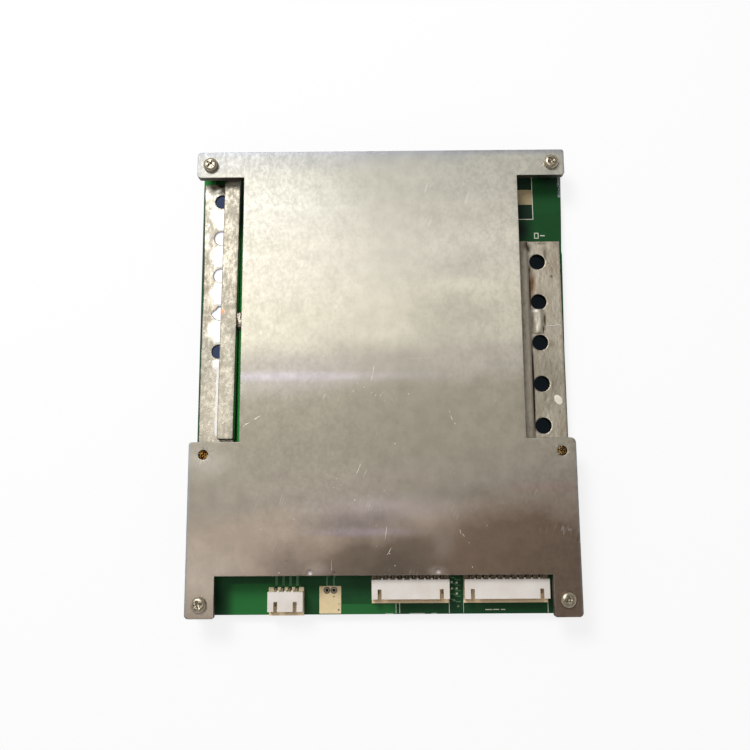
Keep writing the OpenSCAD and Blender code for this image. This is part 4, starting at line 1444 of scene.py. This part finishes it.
class BMS_OT_parts(bpy.types.Operator):
    """Rounds and finishes the parts between the board and the plate"""
    bl_idname = "bms.parts"
    bl_label = "Parts under the plate"

    def execute(self, context):
        epoxy = worked_finish("Moulded epoxy", (40, 40, 42), (30, 30, 32), 0.0,
                              (0.5, 0.68), 0.003, 0.0003, worn=(88, 88, 90))
        leads = worked_finish("Tinned leads", (200, 196, 186), (164, 158, 146), 1.0,
                              (0.25, 0.4), 0.0012, 0.0003)
        pad = worked_finish("Silicone pad", (150, 160, 176), (130, 140, 158), 0.0,
                            (0.7, 0.85), 0.005, 0.0006)
        alloy = worked_finish("Shunt alloy", (196, 158, 122), (160, 122, 90), 1.0,
                              (0.3, 0.45), 0.002, 0.0004, stretch=(0.2, 1, 1))
        can = worked_finish("Capacitor can", (216, 216, 218), (188, 188, 192), 1.0,
                            (0.22, 0.34), 0.003, 0.0004, stretch=(1, 1, 0.2))
        white = worked_finish("White package", (232, 230, 224), (212, 208, 198), 0.0,
                              (0.45, 0.6), 0.002, 0.0004)
        ceramic = worked_finish("Ceramic", (186, 156, 116), (160, 130, 94), 0.0,
                                (0.4, 0.55), 0.001, 0.0003)
        ferrite = worked_finish("Ferrite", (74, 74, 78), (56, 56, 60), 0.1,
                                (0.5, 0.65), 0.002, 0.0004, pits=0.2)
        table = [
            ("left_fet_bodies", 0.15, epoxy, "epoxy"), ("right_fet_bodies", 0.15, epoxy, "epoxy"),
            ("left_fet_leads", 0.06, leads, "pin_metal"),
            ("right_fet_leads", 0.06, leads, "pin_metal"),
            ("left_thermal_pad", 0.2, pad, "thermal_pad"),
            ("right_thermal_pad", 0.2, pad, "thermal_pad"),
            ("current_shunts", 0.12, alloy, "shunt_alloy"), ("surge_diodes", 0.12, epoxy, "epoxy"),
            ("gate_drivers", 0.05, epoxy, "epoxy"), ("front_end_chip_a", 0.04, epoxy, "epoxy"),
            ("front_end_chip_b", 0.04, epoxy, "epoxy"), ("microcontroller", 0.05, epoxy, "epoxy"),
            ("crystal", 0.15, can, "can"), ("optocouplers", 0.06, white, "white_package"),
            ("balance_resistors", 0.08, epoxy, "epoxy"),
            ("balance_transistors", 0.05, epoxy, "epoxy"),
            ("electrolytic_capacitors", 0.2, can, "can"),
            ("ceramic_capacitors", 0.1, ceramic, "ceramic"),
            ("power_inductor", 0.3, ferrite, "ferrite"), ("supply_regulator", 0.06, epoxy, "epoxy"),
        ]
        for source, width, material, slot in table:
            softened(source + "_dressed", source, width, material)
        return {"FINISHED"}


# ---------------------------------------------------------------- stage

CAMERA_PLACE = (-0.000165, -0.05081, 0.3171)
CAMERA_TILT, CAMERA_PAN, CAMERA_ROLL = 0.1651, -0.0461, -0.0533
CAMERA_LENS = 40.8
FLOOR_REACH = 6.0
FLOOR_WHITE = (0.92, 0.92, 0.92, 1)


class BMS_OT_stage(bpy.types.Operator):
    """Sets the camera, the lamps, the surroundings and the floor"""
    bl_idname = "bms.stage"
    bl_label = "Camera, lamps and floor"

    def execute(self, context):
        settings = context.scene.bms_stage
        self.camera(context)
        self.surroundings(context, settings)
        self.lamp(context, "Key", (-0.32, 0.46, 0.78), settings.key_size, settings.key_power)
        self.lamp(context, "Fill", (-0.07, -0.01, 0.7), 0.24, settings.fill_power)
        self.floor(context)
        return {"FINISHED"}

    def camera(self, context):
        """The camera, aimed by its tilt, pan and roll."""
        tilt, pan, roll = CAMERA_TILT, CAMERA_PAN, CAMERA_ROLL
        ahead = Vector((sin(pan) * sin(tilt), cos(pan) * sin(tilt), -cos(tilt)))
        up = Vector((sin(pan) * cos(tilt), cos(pan) * cos(tilt), sin(tilt)))
        right = ahead.cross(up)
        turned_right = right * cos(roll) + up * sin(roll)
        turned_up = up * cos(roll) - right * sin(roll)
        lens = bpy.data.cameras.new("Camera")
        lens.lens = CAMERA_LENS
        lens.sensor_width = 36.0
        lens.clip_start = 0.01
        camera = bpy.data.objects.new("Camera", lens)
        camera.matrix_world = Matrix.Translation(CAMERA_PLACE) @ Matrix(
            (turned_right, turned_up, -ahead)).transposed().to_4x4()
        context.scene.collection.objects.link(camera)
        context.scene.camera = camera

    def surroundings(self, context, settings):
        """A white horizon that grows dimmer overhead."""
        world = bpy.data.worlds.new("Surroundings")
        world.use_nodes = True
        context.scene.world = world
        tree = world.node_tree
        up = split(node(tree, "TexCoord")["Generated"])[2]
        level = ease(up, 0.25, 0.85, settings.horizon, settings.zenith)
        tree.nodes["Background"].inputs["Color"].default_value = (1, 1, 1, 1)
        feed(tree.nodes["Background"].inputs["Strength"], level)

    def lamp(self, context, name, place_at, size, power):
        """A square lamp that shines at the middle of the part."""
        light = bpy.data.lights.new(name, "AREA")
        light.size = size
        light.energy = power
        lamp = bpy.data.objects.new(name, light)
        lamp.location = place_at
        lamp.rotation_mode = "QUATERNION"
        lamp.rotation_quaternion = (-Vector(place_at)).to_track_quat("-Z", "Y")
        context.scene.collection.objects.link(lamp)

    def floor(self, context):
        """White paper that glows a little, with a dark sheet of painted shade under the board and
        painted light under the left strip's second to fourth holes.
        """
        mesh = bpy.data.meshes.new("floor")
        corners = [(x * FLOOR_REACH, y * FLOOR_REACH, 0)
                   for x, y in ((-1, -1), (1, -1), (1, 1), (-1, 1))]
        mesh.from_pydata(corners, [], [(0, 1, 2, 3)])
        floor = bpy.data.objects.new("floor", mesh)
        context.scene.collection.objects.link(floor)
        made = bpy.data.materials.new("Floor paint")
        made.use_nodes = True
        tree = made.node_tree
        tree.nodes.remove(tree.nodes["Principled BSDF"])
        x, y, z = split(node(tree, "TexCoord")["Object"])
        # Painted shade: a dark sheet under the board, bluer towards its upper left
        shade_sheet = fall(abs(x), 0.0645, 0.0655) * fall(abs(y), 0.078, 0.080)
        strip = fall(x, -0.055, -0.0545) * (
            fall(y, 0.0605, 0.0610) * ease(y, 0.0186, 0.0190))
        light = strip * shade_sheet
        dark = shade_sheet - light
        colour = mix(dark, FLOOR_WHITE, (24, 30, 46))
        near = (x < 0.0) * (y > -0.04)
        glow = mix(dark, (1, 1, 1, 1), mix(near, (20, 25, 28), (70, 82, 108)))
        ray = node(tree, "LightPath")
        seen = ray["Is Camera Ray"].most(ray["Is Glossy Ray"].most(ray["Is Transmission Ray"]))
        matt = node(tree, "BsdfDiffuse", {"Color": colour})
        # Painted light: the patch under the second to fourth left holes glows brighter than the
        # paper
        lit = node(tree, "Emission", {"Color": glow, "Strength": ease(light, 0.0, 1.0, 1.0, 1.3)})
        both = node(tree, "MixShader", {0: seen * 0.8, 1: matt, 2: lit})
        behind = node(tree, "NewGeometry")["Backfacing"]
        clear = node(tree, "BsdfTransparent")
        feed(tree.nodes["Material Output"].inputs["Surface"],
             node(tree, "MixShader", {0: behind, 1: both, 2: clear}))
        mesh.materials.append(made)


# ---------------------------------------------------------------- add-on

OPERATORS = [BMS_OT_stage, BMS_OT_plate, BMS_OT_board, BMS_OT_busbars, BMS_OT_fasteners,
             BMS_OT_headers, BMS_OT_parts]


class BMS_PT_panel(bpy.types.Panel):
    """Lists the pieces and their settings"""
    bl_idname = "BMS_PT_panel"
    bl_label = "Battery board"
    bl_space_type = "VIEW_3D"
    bl_region_type = "UI"
    bl_category = "Battery board"

    def draw(self, context):
        for operator in OPERATORS:
            self.layout.operator(operator.bl_idname)
        for name, group in SETTINGS.items():
            box = self.layout.box()
            box.label(text=name[4:].capitalize())
            for key in group.__annotations__:
                box.prop(getattr(context.scene, name), key)


CLASSES = [*SETTINGS.values(), *OPERATORS, BMS_PT_panel]


def register():
    for each in CLASSES:
        bpy.utils.register_class(each)
    for name, group in SETTINGS.items():
        setattr(bpy.types.Scene, name, bpy.props.PointerProperty(type=group))


def unregister():
    for name in SETTINGS:
        delattr(bpy.types.Scene, name)
    for each in reversed(CLASSES):
        bpy.utils.unregister_class(each)


def main():
    register()
    bpy.context.scene.view_settings.view_transform = "Standard"
    for operator in OPERATORS:
        getattr(bpy.ops.bms, operator.bl_idname.split(".")[1])()


if __name__ == "__main__":
    main()
